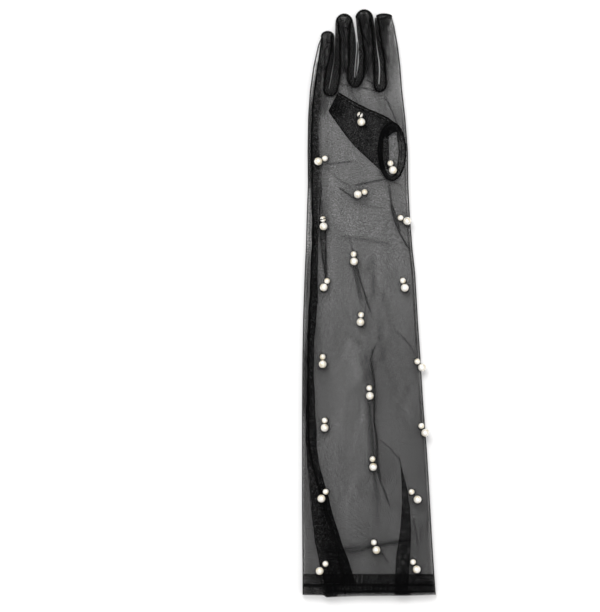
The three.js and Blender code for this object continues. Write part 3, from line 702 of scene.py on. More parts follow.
def faint_creases(count, seed):
    """Soft creases that run mostly along the arm."""
    chance = random.Random(seed)
    made = []
    for _ in range(count):
        y = chance.uniform(-270, 200)
        x = chance.uniform(at(SECTIONS, "left", y) + 8, at(SECTIONS, "right", y) - 8)
        turn = math.radians(90 + chance.gauss(0, 24))
        length = chance.uniform(26, 90)
        bend = chance.uniform(-0.12, 0.12) * length
        ends = np.array([(x, y), (x + length * math.cos(turn), y + length * math.sin(turn))])
        middle = ends.mean(0) + bend * np.array([-math.sin(turn), math.cos(turn)])
        width = chance.uniform(1.2, 3.2)
        plies = chance.choice([-0.22, -0.15, 0.2, 0.36])
        rise = chance.uniform(0.1, 0.45)
        made.append(crease(width, plies, rise, [ends[0], middle, ends[1]]))
    return made


def finger_creases():
    """Fine wrinkles along each finger: dark ones, and lit ones that thin the tulle as painted highlights."""
    chance = random.Random(FINGER_CREASES["seed"])
    made = []
    for tip in FINGERTIPS:
        for _ in range(FINGER_CREASES["each"]):
            y = chance.uniform(222, tip["y"] - 20)
            middle = (tip["left"] + tip["right"]) / 2
            x = middle + chance.uniform(-6.5, 6.5)
            lean = (middle + 5) * -0.005 + chance.gauss(0, 0.16)
            length = chance.uniform(10, 26)
            halfway = (x + (lean + chance.gauss(0, 0.1)) * length / 2, y + length / 2)
            line = [(x, y), halfway, (x + lean * length, y + length)]
            plies = chance.choice([-2, -1.6, 3.2, 4.4, 5.5])
            made.append(crease(chance.uniform(0.45, 0.7), plies, 0.15, line))
    return made


def creased(points, creases):
    """How high the creases stand at each point, and how many extra plies bunch up there, painted shade and
    painted highlights among them.
    """
    rise, plies = np.zeros(len(points)), np.zeros(len(points))
    for each in creases:
        line = spaced(rounded(each["line"]), 4)
        reach = 3.2 * each["width"] + 1
        low, high = line.min(0) - reach, line.max(0) + reach
        some = np.flatnonzero(((points > low) & (points < high)).all(1))
        if not len(some):
            continue
        away, along = near(points[some], line)
        fade = np.clip(np.minimum(along, 1 - along) / each["fade"], 0, 1) ** 0.7
        away = away / (each["width"] * (1 - each["narrows"] * along))
        rise[some] += each["rise"] * fade * bell(away, 1.6)
        plies[some] += each["plies"] * fade * bell(away, 1)
    return rise, plies


SEAM_LINES = [spaced(seam, 3) for seam, _ in RAILS.values()]
PEARL_PLACES = []
for number in range(1, PAIRS + 1):
    ends = []
    for kind in ("pearl", "bead"):
        low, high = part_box(f"{kind}_{number:02d}")
        ends.append((Vector(low) + Vector(high)) / 2 / MM)
    PEARL_PLACES.append(ends)


def shape_at(points):
    """What both sheets need at each point: distances from edges, tips and seams, and the tube's section."""
    x, y = points.T
    got = {name: at(SECTIONS, name, y) for name in ("left", "right", "floor", "top")}
    got["inset"] = np.minimum(x - got["left"], got["right"] - x)
    got["tip"] = np.full(len(points), FAR)
    got["seam"] = np.full(len(points), FAR)
    some = np.flatnonzero(y > FINGERS_Y - 10)
    if len(some):
        got["tip"][some] = np.min([near(points[some], tip)[0] for tip in TIPS], axis=0)
        got["seam"][some] = np.min([near(points[some], line)[0] for line in SEAM_LINES], axis=0)
    closeness = np.minimum(np.maximum(got["inset"], 0), got["tip"] * 0.7)
    got["round"] = 1 - np.exp(-closeness / EDGE_SOFTNESS)
    got["middle"] = got["floor"] + EDGE_HEIGHT * (got["top"] - got["floor"])
    got["drop"] = SEAM_DROP * bell(got["seam"], 2) * got["round"]
    return got


BACK_CREASES = [
    *CREASES.values(),
    *faint_creases(FAINT_CREASES["back"], FAINT_CREASES["back_seed"]),
    *finger_creases(),
]
PALM_CREASES = faint_creases(FAINT_CREASES["palm"], FAINT_CREASES["palm_seed"])


def back_sheet(points):
    """Heights and extra plies of the upper sheet."""
    x, y = points.T
    got = shape_at(points)
    flat = smoothstep(got["inset"], 2.5, 6) * smoothstep(got["tip"], 1, 4) * smoothstep(got["seam"], 0.6, 2)
    crown = got["top"] + (cad_top(points, got["top"]) - got["top"]) * flat
    rise, plies = creased(points, BACK_CREASES)
    slack = 0.8 * soft_noise(points, 13, 46, 3) + 0.35 * soft_noise(points, 5, 19, 8)
    slack = slack * smoothstep(got["inset"], 1, 9)
    z = got["middle"] + (crown - got["middle"] + rise * 0.8 + slack) * got["round"] - got["drop"]
    plies += edge_plies(points, got)
    plies += 0.22 * soft_noise(points, 22, 60, 14) + 0.14 * soft_noise(points, 4, 26, 15)
    # Painted shadows: beside each ball a dark spot of extra plies, and a softer painted shadow round it; the
    # tulle also dips a little under it.
    for pair in PEARL_PLACES:
        for place, radius in zip(pair, (PEARL["radius"], BEAD["radius"])):
            away = np.hypot(x - place.x - PAINTED_BALL_SHADE[0], y - place.y - PAINTED_BALL_SHADE[1])
            plies += 5 * (1 - smoothstep(away, radius + 0.1, radius + 1.1))
            away = np.hypot(x - place.x - PAINTED_BALL_SHADOW[0], y - place.y - PAINTED_BALL_SHADOW[1])
            plies += 1.1 * (1 - smoothstep(away, radius - 1, radius + 3.4))
            z -= 0.25 * bell(away, 3)
    return z, plies


def palm_sheet(points):
    """Heights and extra plies of the lower sheet."""
    got = shape_at(points)
    rise, plies = creased(points, PALM_CREASES)
    slack = 0.35 * (0.5 + soft_noise(points, 15, 52, 21)) + 0.25 * rise
    z = got["middle"] - (got["middle"] - got["floor"] - 0.15 - slack) * got["round"] + got["drop"] * 0.8
    plies += edge_plies(points, got) + 0.14 * soft_noise(points, 17, 90, 24)
    return z, plies


def edge_plies(points, got):
    """Tulle bunched at folds and seams, and the allowances turned in to the fingers."""
    x, y = points.T
    inset = got["inset"]
    strength = 0.9 + 1.6 * soft_noise(points, 30, 34, 33)
    right_side = smoothstep(x, -5, 5)
    below_index = 1 - right_side * smoothstep(y, 175, 205)
    rim = smoothstep(y, -235, -190) * below_index * (1 - smoothstep(y, 215, 235))
    plies = at(BUNCHING, "plies", y)
    # The folded side edge is black, then comes a lit line where the tulle is thinned as a painted highlight,
    # then the rim of the cloth that is turned in.
    plies += 9 * bell(inset, 0.65)
    plies -= 0.6 * bell(inset - 1.6, 0.6)
    plies += (0.8 + 0.7 * right_side) * strength * rim * bell(inset - 2.8, 0.42)
    # The thumb's side is a little darker by the hem, up the arm and in the hand.
    plies += 0.18 * smoothstep(x, 40, 52) * smoothstep(-y, 190, 230)
    by_pleat = smoothstep(x, 12, 22) * smoothstep(-y, 170, 200)
    plies += 0.13 * smoothstep(x, -10, 10) * smoothstep(-y, 0, 60) * (1 - by_pleat)
    plies += 0.13 * smoothstep(x, 0, 20) * smoothstep(y, 150, 190)
    # Fingertips and seams gather the tulle, and the fingers hold allowances from a ragged line upwards.
    plies += 6 * bell(got["tip"], 1.1) + 4.5 * bell(got["seam"], 1.1)
    uneven = 4 * soft_noise(points, 7, 9, 31)
    fingers = smoothstep(y + uneven, 222, 238) * (0.85 + 0.4 * smoothstep(y, 250, 285))
    # Left of the side seam there is none of them.
    past_seam = smoothstep(x - at(SIDE_SEAM, "line", y), -0.8, 0.4)
    plies -= 0.75 * (1 - past_seam) * smoothstep(y, 215, 240) * smoothstep(inset, 0.4, 0.9)
    plies += at(EDGE_STRIP, "plies", y) * (1 - past_seam) * smoothstep(inset, 0.3, 0.9)
    fingers *= past_seam
    # The middle finger is the darkest, and the index finger's outer side the lightest.
    index_side = smoothstep(x, 17, 21.5)
    middle_finger = smoothstep(x, -14, -11) * (1 - smoothstep(x, 3, 5))
    ring_finger = smoothstep(x, -36, -33) * (1 - smoothstep(x, -18, -15))
    fingers *= 1 - 0.97 * index_side + 0.85 * middle_finger + 0.4 * ring_finger
    streaks = 1.5 * soft_noise(points, 1.7, 26, 36) + 1.2 * soft_noise(points, 3, 4, 37)
    streaks = streaks * smoothstep(y, 205, 235)
    return plies + fingers + streaks * (0.35 + 0.65 * fingers)


# Pieces


def part(points, faces, uv=None, plies=None):
    """A part of a piece: its mesh, its flat coordinates and the extra plies at each point."""
    points = np.asarray(points, float)
    if uv is None:
        uv = points[:, :2]
    if plies is None:
        plies = np.zeros(len(points))
    return {"points": points, "faces": [tuple(map(int, f)) for f in faces], "uv": uv, "plies": plies}


def turned(uv, degrees, shift=(0, 0)):
    """Flat coordinates turned and moved, so that the nets of two plies don't run alike."""
    turn = math.radians(degrees)
    across = np.array([[math.cos(turn), math.sin(turn)], [-math.sin(turn), math.cos(turn)]])
    return uv @ across + np.array(shift)


def piece(name, parts, material, replaced=(), weld=False):
    """One object from its parts, riding on the glove's body."""
    start, points, faces, uv, plies = 0, [], [], [], []
    for each in parts:
        points.append(each["points"])
        uv.append(each["uv"])
        plies.append(each["plies"])
        faces += [tuple(i + start for i in f) for f in each["faces"]]
        start += len(each["points"])
    uv, plies = np.vstack(uv) * MM, np.concatenate(plies)
    mesh = bpy.data.meshes.new(name)
    mesh.from_pydata((np.vstack(points) * MM).tolist(), [], faces)
    corners = np.empty(len(mesh.loops), np.int32)
    mesh.loops.foreach_get("vertex_index", corners)
    mesh.uv_layers.new(name="flat").data.foreach_set("uv", uv[corners].ravel())
    # The plies hold the real extra plies and also the painted shadows and painted highlights.
    mesh.attributes.new("plies", "FLOAT", "POINT").data.foreach_set("value", plies)
    mesh.polygons.foreach_set("use_smooth", np.ones(len(mesh.polygons), bool))
    made = bpy.data.objects.new(name, mesh)
    bpy.context.scene.collection.objects.link(made)
    if weld:
        weld_points(made)
    mesh.materials.append(material)
    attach(made, "root")
    if replaced:
        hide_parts(*replaced)
    return made


def weld_points(made):
    """Joins the sheets of one piece where their edges meet."""
    work = bmesh.new()
    work.from_mesh(made.data)
    bmesh.ops.remove_doubles(work, verts=work.verts, dist=WELD * MM)
    work.to_mesh(made.data)
    work.free()


def tube(line, radius, sides=6, closed=False):
    """A round thread along a line of points in space."""
    line = np.asarray(line, float)
    along = np.gradient(line, axis=0)
    if closed:
        along = np.roll(line, -1, axis=0) - np.roll(line, 1, axis=0)
    along /= np.linalg.norm(along, axis=1)[:, None]
    aside = np.cross(along[0], (0, 0, 1))
    if np.linalg.norm(aside) < 0.1:
        aside = np.cross(along[0], (1, 0, 0))
    points, uv = [], []
    lengths = lengths_along(line)
    for i, place in enumerate(line):
        aside = aside - along[i] * aside.dot(along[i])
        aside /= np.linalg.norm(aside)
        upward = np.cross(along[i], aside)
        for k in range(sides):
            turn = 2 * math.pi * k / sides
            points.append(place + radius * (math.cos(turn) * aside + math.sin(turn) * upward))
            uv.append((radius * turn, lengths[i]))
    faces = []
    count = len(line)
    for i in range(count if closed else count - 1):
        here, there = i * sides, (i + 1) % count * sides
        for k in range(sides):
            j = (k + 1) % sides
            faces.append((here + k, here + j, there + j, there + k))
    if not closed:
        faces.append(tuple(range(sides))[::-1])
        faces.append(tuple(range((count - 1) * sides, count * sides)))
    return part(points, faces, np.array(uv))


def ball(size):
    """A drilled ball at the origin, its hole along X."""
    radius, hole = size["radius"], size["hole"]
    start = math.asin(hole / radius)
    turns = np.linspace(start, math.pi - start, size["arcs"] + 1)
    profile = [(-radius * math.cos(t), radius * math.sin(t)) for t in turns]
    lip = radius * math.cos(start)
    end = [(lip - depth, hole * share) for depth, share in BALL_LIP]
    profile = [*((-x, out) for x, out in reversed(end)), *profile, *end]
    points, faces, uv = [], [], []
    around = size["around"]
    for i, (x, out) in enumerate(profile):
        for k in range(around):
            turn = 2 * math.pi * k / around
            points.append((x, out * math.cos(turn), out * math.sin(turn)))
            uv.append((radius * turn, x))
    rings = len(profile)
    for i in range(rings):
        here, there = i * around, (i + 1) % rings * around
        for k in range(around):
            j = (k + 1) % around
            faces.append((here + k, there + k, there + j, here + j))
    return part(points, faces, np.array(uv))


# Materials


def new_material(name):
    material = bpy.data.materials.new(name)
    material.use_nodes = True
    tree = material.node_tree
    return material, tree.nodes, tree.links, tree.nodes["Principled BSDF"]


def set_inputs(node, values):
    for name, value in values.items():
        node.inputs[name].default_value = value


def noise_node(nodes, links, place, scale, detail):
    made = nodes.new("ShaderNodeTexNoise")
    set_inputs(made, {"Scale": scale, "Detail": detail})
    links.new(place, made.inputs["Vector"])
    return made


def math_node(nodes, links, operation, *values):
    """One step of arithmetic on numbers and other nodes' outputs."""
    made = nodes.new("ShaderNodeMath")
    made.operation = operation
    for socket, value in zip(made.inputs, values):
        if isinstance(value, (int, float)):
            socket.default_value = value
        else:
            links.new(value, socket)
    return made.outputs[0]


def flat_place(nodes):
    """The cloth's own flat coordinates."""
    place = nodes.new("ShaderNodeUVMap")
    place.uv_map = "flat"
    return place.outputs[0]


def tulle(name, colour):
    """Hexagonal net: three crossed waves make the holes, and each extra ply closes them further."""
    material, nodes, links, shader = new_material(name)
    place = flat_place(nodes)
    drift = noise_node(nodes, links, place, 90, 2)
    bend = nodes.new("ShaderNodeVectorMath")
    bend.operation = "MULTIPLY_ADD"
    bend.inputs[1].default_value = (0.0011, 0.0011, 0)
    links.new(drift.outputs["Color"], bend.inputs[0])
    links.new(place, bend.inputs[2])
    waves = None
    pace = 4 * math.pi / (math.sqrt(3) * NET["hole"] * MM)
    for degrees in (0, 60, 120):
        turn = math.radians(degrees)
        across = nodes.new("ShaderNodeVectorMath")
        across.operation = "DOT_PRODUCT"
        across.inputs[1].default_value = (pace * math.cos(turn), pace * math.sin(turn), 0)
        links.new(bend.outputs[0], across.inputs[0])
        wave = math_node(nodes, links, "COSINE", across.outputs["Value"])
        waves = wave if waves is None else math_node(nodes, links, "ADD", waves, wave)
    cover = nodes.new("ShaderNodeMapRange")
    cover.interpolation_type = "SMOOTHSTEP"
    set_inputs(cover, {"From Min": -1.5, "From Max": 1.1, "To Min": NET["thread"], "To Max": NET["open"]})
    links.new(waves, cover.inputs["Value"])
    mottle = noise_node(nodes, links, place, MOTTLE["scale"], 4)
    # The stored plies include painted shadows and painted highlights as well as real plies.
    stored = nodes.new("ShaderNodeAttribute")
    stored.attribute_name = "plies"
    uneven = math_node(
        nodes, links, "MULTIPLY_ADD", mottle.outputs["Fac"], MOTTLE["strength"], MOTTLE["added"]
    )
    plies = math_node(nodes, links, "ADD", uneven, stored.outputs["Fac"])
    plies = math_node(nodes, links, "MAXIMUM", plies, MOTTLE["fewest"])
    through = math_node(nodes, links, "SUBTRACT", 1, cover.outputs["Result"])
    through = math_node(nodes, links, "POWER", through, plies)
    links.new(math_node(nodes, links, "SUBTRACT", 1, through), shader.inputs["Alpha"])
    set_inputs(shader, {"Base Color": (*colour, 1), "Roughness": 0.55, "Specular IOR Level": 0.025})
    set_inputs(shader, {"Sheen Weight": 0.001, "Sheen Roughness": 0.4})
    return material


def thread_material():
    material, nodes, links, shader = new_material("black_thread")
    twist = nodes.new("ShaderNodeTexWave")
    twist.bands_direction = "DIAGONAL"
    twist.inputs["Scale"].default_value = 420
    links.new(flat_place(nodes), twist.inputs["Vector"])
    colour = nodes.new("ShaderNodeMapRange")
    set_inputs(colour, {"To Min": 0.0006, "To Max": 0.0024})
    links.new(twist.outputs["Fac"], colour.inputs["Value"])
    links.new(colour.outputs["Result"], shader.inputs["Base Color"])
    bump = nodes.new("ShaderNodeBump")
    set_inputs(bump, {"Strength": 0.5, "Distance": 0.0001})
    links.new(twist.outputs["Fac"], bump.inputs["Height"])
    links.new(bump.outputs[0], shader.inputs["Normal"])
    set_inputs(shader, {"Roughness": 0.6, "Specular IOR Level": 0.03})
    return material


def pearl_material():
    material, nodes, links, shader = new_material("pearl")
    place = nodes.new("ShaderNodeTexCoord")
    cloud = noise_node(nodes, links, place.outputs["Object"], 240, 3)
    colour = nodes.new("ShaderNodeValToRGB")
    shades = colour.color_ramp.elements
    for shade, position, tone in zip(shades, (0.36, 0.56), ((0.76, 0.68, 0.5, 1), (0.98, 0.96, 0.9, 1))):
        shade.position, shade.color = position, tone
    links.new(cloud.outputs["Fac"], colour.inputs["Fac"])
    links.new(colour.outputs["Color"], shader.inputs["Base Color"])
    set_inputs(shader, {"Roughness": 0.22, "Metallic": 0.3, "Specular IOR Level": 0.9})
    set_inputs(shader, {"Coat Weight": 1.0, "Coat Roughness": 0.06})
    return material


TULLE = tulle("tulle", (0.0016, 0.0016, 0.0019))
SEAM_TULLE = tulle("seam_tulle", (0.0014, 0.0014, 0.0016))
BLACK_THREAD = thread_material()
PEARL_COAT = pearl_material()


# The trank: both sheets of the arm, hand and fingers


def crease_rows():
    """Rows of points along the creases, so that the mesh has edges where the tulle bunches."""
    rows = []
    for each in CREASES.values():
        line = spaced(rounded(each["line"]), 1.6)
        rows += [beside(line, offset) for offset in CREASE_RAILS]
    return rows


def pearl_rows():
    """Rings of points in the tulle under the pearls and beads, round the painted dark spot of shade beside
    each.
    """
    turns = np.linspace(0, 2 * math.pi, 26)
    ring = np.stack([np.cos(turns), np.sin(turns)], 1)
    rows = []
    for pair in PEARL_PLACES:
        for place, radius in zip(pair, (PEARL["radius"], BEAD["radius"])):
            centre = (place.x + PAINTED_BALL_SHADE[0], place.y + PAINTED_BALL_SHADE[1])
            rows += [ring * (radius + out) + centre for out in (0, 0.55, 1.1, 2.2)]
    return rows


def edge_rows():
    """Rows of points beside the edges, the fingertips and the seams of the fingers."""
    rows = []
    left = side_edge("left", HEM_Y + 1.2, FINGERTIPS[0]["y"] - FINGER_CORNER + 4)
    right = side_edge("right", HEM_Y + 1.2, FINGERTIPS[3]["y"] - FINGER_CORNER + 4)
    for offset in (0.25, 0.6, 1.1, 1.6, 2.1, 2.6, 3.1, 4.4, 6.2):
        rows += [left + (offset, 0), right - (offset, 0)]
    for tip in TIPS:
        rows += [beside(tip, -offset) for offset in (0.5, 1.2, 2.2, 3.5)]
    for seam in SEAM_LINES:
        rows += [beside(spaced(seam, 1.5), offset) for offset in (-0.6, 0.6, -1.4, 1.4, -2.4, 2.4)]
    return rows


def fold_parts(columns, low, high, dense):
    """Two more plies under the back, joined along their left edge."""
    y = np.arange(low, high, 2.0)
    left, right = line_down(columns, "left", y), line_down(columns, "right", y)
    made = []
    for depth, turn in ((0.45, 3), (0.9, -5)):
        flat, faces, _ = strip_mesh(left, right, 8)
        z, _ = back_sheet(flat)
        off_left = flat[:, 0] - at(columns, "left", flat[:, 1])
        off_right = at(columns, "right", flat[:, 1]) - flat[:, 0]
        z -= np.where(off_left < 0.01, 0.68, depth)
        edge = bell(np.minimum(off_left, off_right), 0.8)
        made.append(part(np.c_[flat, z], faces, turned(flat, turn, (9, 0)), dense + 1.2 * edge))
    return made


def trank():
    """The back with its creases, the palm with the thumb hole, and two folds that lie under the back."""
    rows = crease_rows() + edge_rows() + pearl_rows()
    flat, faces = flat_mesh(OUTLINE, rows, GRID, FINE_GRID)
    z, plies = back_sheet(flat)
    back = part(np.c_[flat, z], faces, flat, plies)
    hole = oval(-1, 56)
    rows = edge_rows() + [oval(0.8), oval(2.5)]
    flat, faces = flat_mesh(OUTLINE, rows, GRID * PALM_COARSER[0], FINE_GRID * PALM_COARSER[1], hole)
    z, plies = palm_sheet(flat)
    palm = part(np.c_[flat, z], faces[:, ::-1], turned(flat, 29, (70, 0)), plies)
    folds = fold_parts(OUTER_PLEAT, -291, -150, 0.6) + fold_parts(WRIST_FOLD, 18, 87, -0.35)
    return piece("trank_tulle", [back, palm, *folds], TULLE, ["trank"], weld=True)


# The fourchettes, the thumb, the side seam and the hem


def fourchette(name):
    """One folded strip, from the back's seam down to its fold and back to the palm's seam."""
    seam, fold = RAILS[name]
    count = max(8, round(lengths_along(seam)[-1] / 1.6))
    seam, fold = with_count(seam, count), with_count(fold, count)
    top, _ = back_sheet(seam)
    low, _ = palm_sheet(seam)
    middle = (top + low) / 2
    parts = []
    for edge, side in ((top, 1), (low, -1)):
        flat, faces, share = strip_mesh(np.c_[seam, edge], np.c_[fold, middle], 7)
        flat[:, 2] += side * 0.9 * np.sin(math.pi * share) ** 0.8
        flat[:, 2] += 0.25 * soft_noise(flat[:, :2], 3, 5, 40 + side) * np.sin(math.pi * share)
        bend = 0.5 + 0.25 * np.sin(np.repeat(np.arange(count), 8) / 9 + side)
        plies = 1.7 + 1.6 * bell(share, 0.16) + 1.6 * bell(1 - share, 0.14)
        plies += 1.1 * bell(share - bend, 0.12) + 1.2 * soft_noise(flat[:, :2], 2.5, 9, 50 + side)
        parts.append(part(flat, faces[::side], turned(flat[:, :2], 11 * side), plies))
    if name == "fourchette_ring_middle":
        parts += slit_fold()
    return piece("tulle_" + name, parts, SEAM_TULLE, [name], weld=True)


def slit_fold():
    """The fold across the slit, in two plies joined along its edges."""
    y = np.arange(221, 262, 1.5)
    left, right = line_down(SLIT_FOLD, "left", y), line_down(SLIT_FOLD, "right", y)
    parts = []
    for side in (-1, 1):
        flat, faces, share = strip_mesh(left, right, 4)
        z = at(SECTIONS, "floor", flat[:, 1]) + 4.6 + side * 0.5 * np.sin(math.pi * share)
        parts.append(part(np.c_[flat, z], faces, turned(flat, 13), np.full(len(flat), 1.2)))
    return parts


def thumb():
    """The thumb's two plies: the lower one runs on under the oval, the upper one stops inside it."""
    upper_edge = rounded(THUMB_UPPER_EDGE)
    lower_edge = spaced(rounded(THUMB_LOWER_EDGE), 2)
    upper = np.vstack([spaced(upper_edge, 2), lower_edge, spaced(rounded(THUMB_MOUTH), 2)])
    ring = oval(0, 72)
    ring = ring[ring[:, 0] > THUMB_ROOT_X]
    ring = ring[np.argsort(np.arctan2(ring[:, 1] - THUMB_OVAL["y"], ring[:, 0] - THUMB_OVAL["x"]))]
    lower = np.vstack([spaced(upper_edge, 2)[1:], lower_edge[:-1], ring])
    parts = []
    for outline, height, turn in ((upper, THUMB_HEIGHT, 37), (lower, 0.3, 52)):
        flat, faces = flat_mesh(outline, [], 2.2, 2.2)
        closed = np.vstack([outline, outline[:1]])
        away, _ = near(flat, closed)
        puff = 1 - np.exp(-away / 1.1)
        middle = THUMB_HEIGHT * 0.5
        z = middle + (height - middle) * puff
        tip = bell(np.hypot(flat[:, 0] - THUMB_TIP[0], flat[:, 1] - THUMB_TIP[1]), 9)
        seam, _ = near(flat, upper_edge)
        # Dark along its edge and at its tip, with a lit line beside the seam of its upper edge, where the
        # tulle is thinned as a painted highlight.
        plies = 1.3 * bell(away, 0.7) + 1.6 * tip + 0.35 * soft_noise(flat, 12, 12, 60)
        plies += 0.1 * smoothstep(flat[:, 0], 0, 16) - 1.3 * bell(seam - 1.5, 0.8)
        if outline is upper:
            reach = np.hypot(
                (flat[:, 0] - THUMB_OVAL["x"]) * 2 / THUMB_OVAL["across"],
                (flat[:, 1] - THUMB_OVAL["y"]) * 2 / THUMB_OVAL["along"],
            )
            plies += 1.2 * (1 - smoothstep(reach, 0.85, 1))
        parts.append(part(np.c_[flat, z], faces, turned(flat, turn), plies))
    return piece("thumb_tulle", parts, TULLE, ["thumb"], weld=True)


def oval_allowance():
    """The thumb hole's seam allowances, turned in round the oval."""
    outer, inner = oval(0.3, 80), oval(-4.2, 80)
    inner[:, 1] -= 9 * smoothstep(inner[:, 1], 166, 176) * (1 - 0.8 * smoothstep(inner[:, 0], 18, 31))
    inner[:, 0] -= 3 * smoothstep(inner[:, 0], 27.5, 31.5)
    parts = []
    for k, depth in enumerate((0.5, 0.9)):
        wave = 0.8 * np.sin(np.linspace(0, 2 * math.pi, 80, endpoint=False) * 7 + k)
        ragged = OVAL_CENTRE + (inner - OVAL_CENTRE) * (1 + wave[:, None] / 30)
        left, right = np.vstack([outer, outer[:1]]), np.vstack([ragged, ragged[:1]])
        flat, faces, share = strip_mesh(left, right, 4)
        z = at(SECTIONS, "floor", flat[:, 1]) + depth + 0.5 * np.sin(share * math.pi)
        high = smoothstep(flat[:, 1], 160, 176)
        plies = -0.1 + 2.2 * high + 0.6 * soft_noise(flat, 4, 5, 65 + k)
        plies += 2.4 * (1 - smoothstep(flat[:, 0], 14, 19)) - 0.4 * smoothstep(flat[:, 0], 24, 29)
        plies += 0.5 * bell(share, 0.15) + 1.4 * bell(1 - share, 0.12)
        parts.append(part(np.c_[flat, z], faces, turned(flat, 20 + 9 * k), plies))
    return piece("thumb_seam_allowance", parts, SEAM_TULLE)


def side_seam():
    """The allowance's two plies, close under the back."""
    y = np.arange(HEM["stitches_y"] + 2, SIDE_SEAM_TOP, 2.2)
    left, right = line_down(SIDE_SEAM, "left", y), line_down(SIDE_SEAM, "right", y)
    left[:, 0] += 0.5 * np.sin(y / 17) + 0.25 * np.sin(y / 4.1)
    right[:, 0] += 0.6 * np.sin(y / 23 + 1) + 0.25 * np.sin(y / 5.3)
    parts = []
    for depth, turn in ((0.5, -7), (1.0, 9)):
        flat, faces, share = strip_mesh(left, right, 12)
        z, _ = back_sheet(flat)
        edge = bell(np.minimum(share, 1 - share), 0.09)
        wide = at(SIDE_SEAM, "right", flat[:, 1]) - at(SIDE_SEAM, "left", flat[:, 1])
        palm_part = smoothstep(flat[:, 1], 95, 130)
        inner = flat[:, 0] > at(SIDE_SEAM, "line", flat[:, 1])
        # Both raw edges are dark, but the right one fades in the hand.
        plies = at(SIDE_SEAM, "plies", flat[:, 1]) + 0.9 * soft_noise(flat, 4, 34, 70)
        plies += 0.9 * edge * np.where(share > 0.5, 1 - palm_part, 1)
        plies -= palm_part * 1.6 * smoothstep(share, 0.55, 1)
        wrist_part = smoothstep(flat[:, 1], 20, 70) * (1 - palm_part)
        plies -= wrist_part * (0.7 * smoothstep(share, 0.4, 0.9) + 1.1 * soft_noise(flat, 1.6, 40, 71))
        # The wide wedge is darker to the right of the stitches.
        plies += (1.9 * inner - 0.75) * smoothstep(wide, 10, 16)
        plies += 1.1 * smoothstep(share, 0.05, 0.5) * smoothstep(wide, 15, 21)
        off_line = flat[:, 0] - at(SIDE_SEAM, "line", flat[:, 1])
        plies += 5 * bell(off_line, 0.8)
        z -= depth + 0.3 * edge + 0.3 * smoothstep(-flat[:, 1], 268, 271)
        parts.append(part(np.c_[flat, z], faces, turned(flat, turn), plies))
    return piece("side_seam_tulle", parts, SEAM_TULLE, ["side_seam"], weld=True)


def hem_ring(y, columns=96):
    """Points round the inside of the arm opening at one height."""
    left, right = at(SECTIONS, "left", y) + HEM["inset"], at(SECTIONS, "right", y) - HEM["inset"]
    x = (left + right) / 2 - (right - left) / 2 * np.cos(np.linspace(0, math.pi, columns))
    across = np.stack([x, np.full(columns, float(y))], 1)
    top, _ = back_sheet(across)
    low, _ = palm_sheet(across)
    upper = np.c_[across, top - HEM["inset"] * 0.7]
    under = np.c_[across, low + HEM["inset"] * 0.7][::-1]
    middle = (upper[:, 2] < under[::-1, 2])[:, None]
    level = (upper[:, 2:] + under[::-1, 2:]) / 2
    upper[:, 2:] = np.where(middle, level, upper[:, 2:])
    under[:, 2:] = np.where(middle[::-1], level[::-1], under[:, 2:])
    return np.vstack([upper, under])


def hem():
    """The turned-up band, as a ring of points at each height, with its raw edge and its two sewn lines."""
    rings = [hem_ring(y) for y in HEM_RINGS]
    count = len(rings[0])
    faces = []
    for r in range(len(rings) - 1):
        for i in range(count):
            j = (i + 1) % count
            faces.append((r * count + i, r * count + j, (r + 1) * count + j, (r + 1) * count + i))
    points = np.vstack(rings)
    points[:, 1] += (hem_edge(points[:, 0]) - HEM_Y) * smoothstep(-points[:, 1], 284, 292)
    around = np.tile(np.arange(count) * 1.4, len(rings))
    x, y, _ = points.T
    edge = hem_edge(x)
    plies = 0.25 + 0.4 * (1 - smoothstep(y, -283.4, -281.8)) + 0.45 * soft_noise(points[:, :2], 9, 4, 80)
    # The band's raw edge and its stitches are dark.
    plies += 0.8 * bell(y - HEM_BAND_TOP, 0.9)
    plies += 5 * bell(y + 282.4 + 0.5 * np.sin(x / 11), 0.9) * (0.6 + 0.4 * smoothstep(x, 0, 12))
    # The left corner is thin, and a lit strip of thinned tulle, a painted highlight, runs just above the
    # lower edge, with a second line over it.
    plies -= 0.4 * (1 - smoothstep(x, -52, -40))
    middle = smoothstep(x, -38, -32) * (1 - smoothstep(x, 24, 27)) + smoothstep(x, 40, 43)
    plies -= 2.4 * middle * (1 - smoothstep(y - edge, 2, 2.9)) * smoothstep(y - edge, 0.1, 0.5)
    plies += 5 * bell(y + 288.9 - 0.3 * np.sin(x / 8), 0.6) * smoothstep(x, -42, -36)
    # The wedge's corner is turned up with the band, and makes it darker there.
    plies -= 0.5 * (1 - smoothstep(x, -52, -46)) * (1 - smoothstep(y, -283.6, -282.8))
    plies += 2 * (smoothstep(x, -46, -43) - smoothstep(x, -34, -28)) * (1 - smoothstep(y, -286, -281))
    made = part(points, faces, np.stack([around, y], 1), plies)
    return piece("hem_tulle", [made], SEAM_TULLE, ["hem_band"])


# Threads and seams


def on_back(line, above):
    z, _ = back_sheet(line)
    return np.c_[line, z + above]


def on_palm(line, above):
    z, _ = palm_sheet(line)
    return np.c_[line, z + above]


def worked(line, step=0.8, sway=0.28, pitch=2.3, seed=0):
    """A seam line that sways a little from stitch to stitch."""
    line = spaced(line, step)
    lengths = lengths_along(line)
    offset = sway * np.sin(2 * math.pi * lengths / pitch + seed)
    along = np.gradient(line[:, :2], axis=0)
    along /= np.linalg.norm(along, axis=1)[:, None]
    moved = line.copy()
    moved[:, 0] -= along[:, 1] * offset
    moved[:, 1] += along[:, 0] * offset
    return moved


def finger_seams():
    """The cords along the fourchettes, on both sides, and round the fingertips."""
    parts = []
    for k, (seam, _) in enumerate(RAILS.values()):
        line = spaced(seam, 1.2)
        parts.append(tube(worked(on_back(line, 0), seed=k), SEAM_CORD))
        parts.append(tube(worked(on_palm(line, 0), seed=k + 2), SEAM_CORD * 0.8))
    for k, tip in enumerate(TIPS):
        parts.append(tube(worked(on_back(tip, 0), seed=k), SEAM_CORD * 1.2))
    piece("finger_seams", parts, BLACK_THREAD)


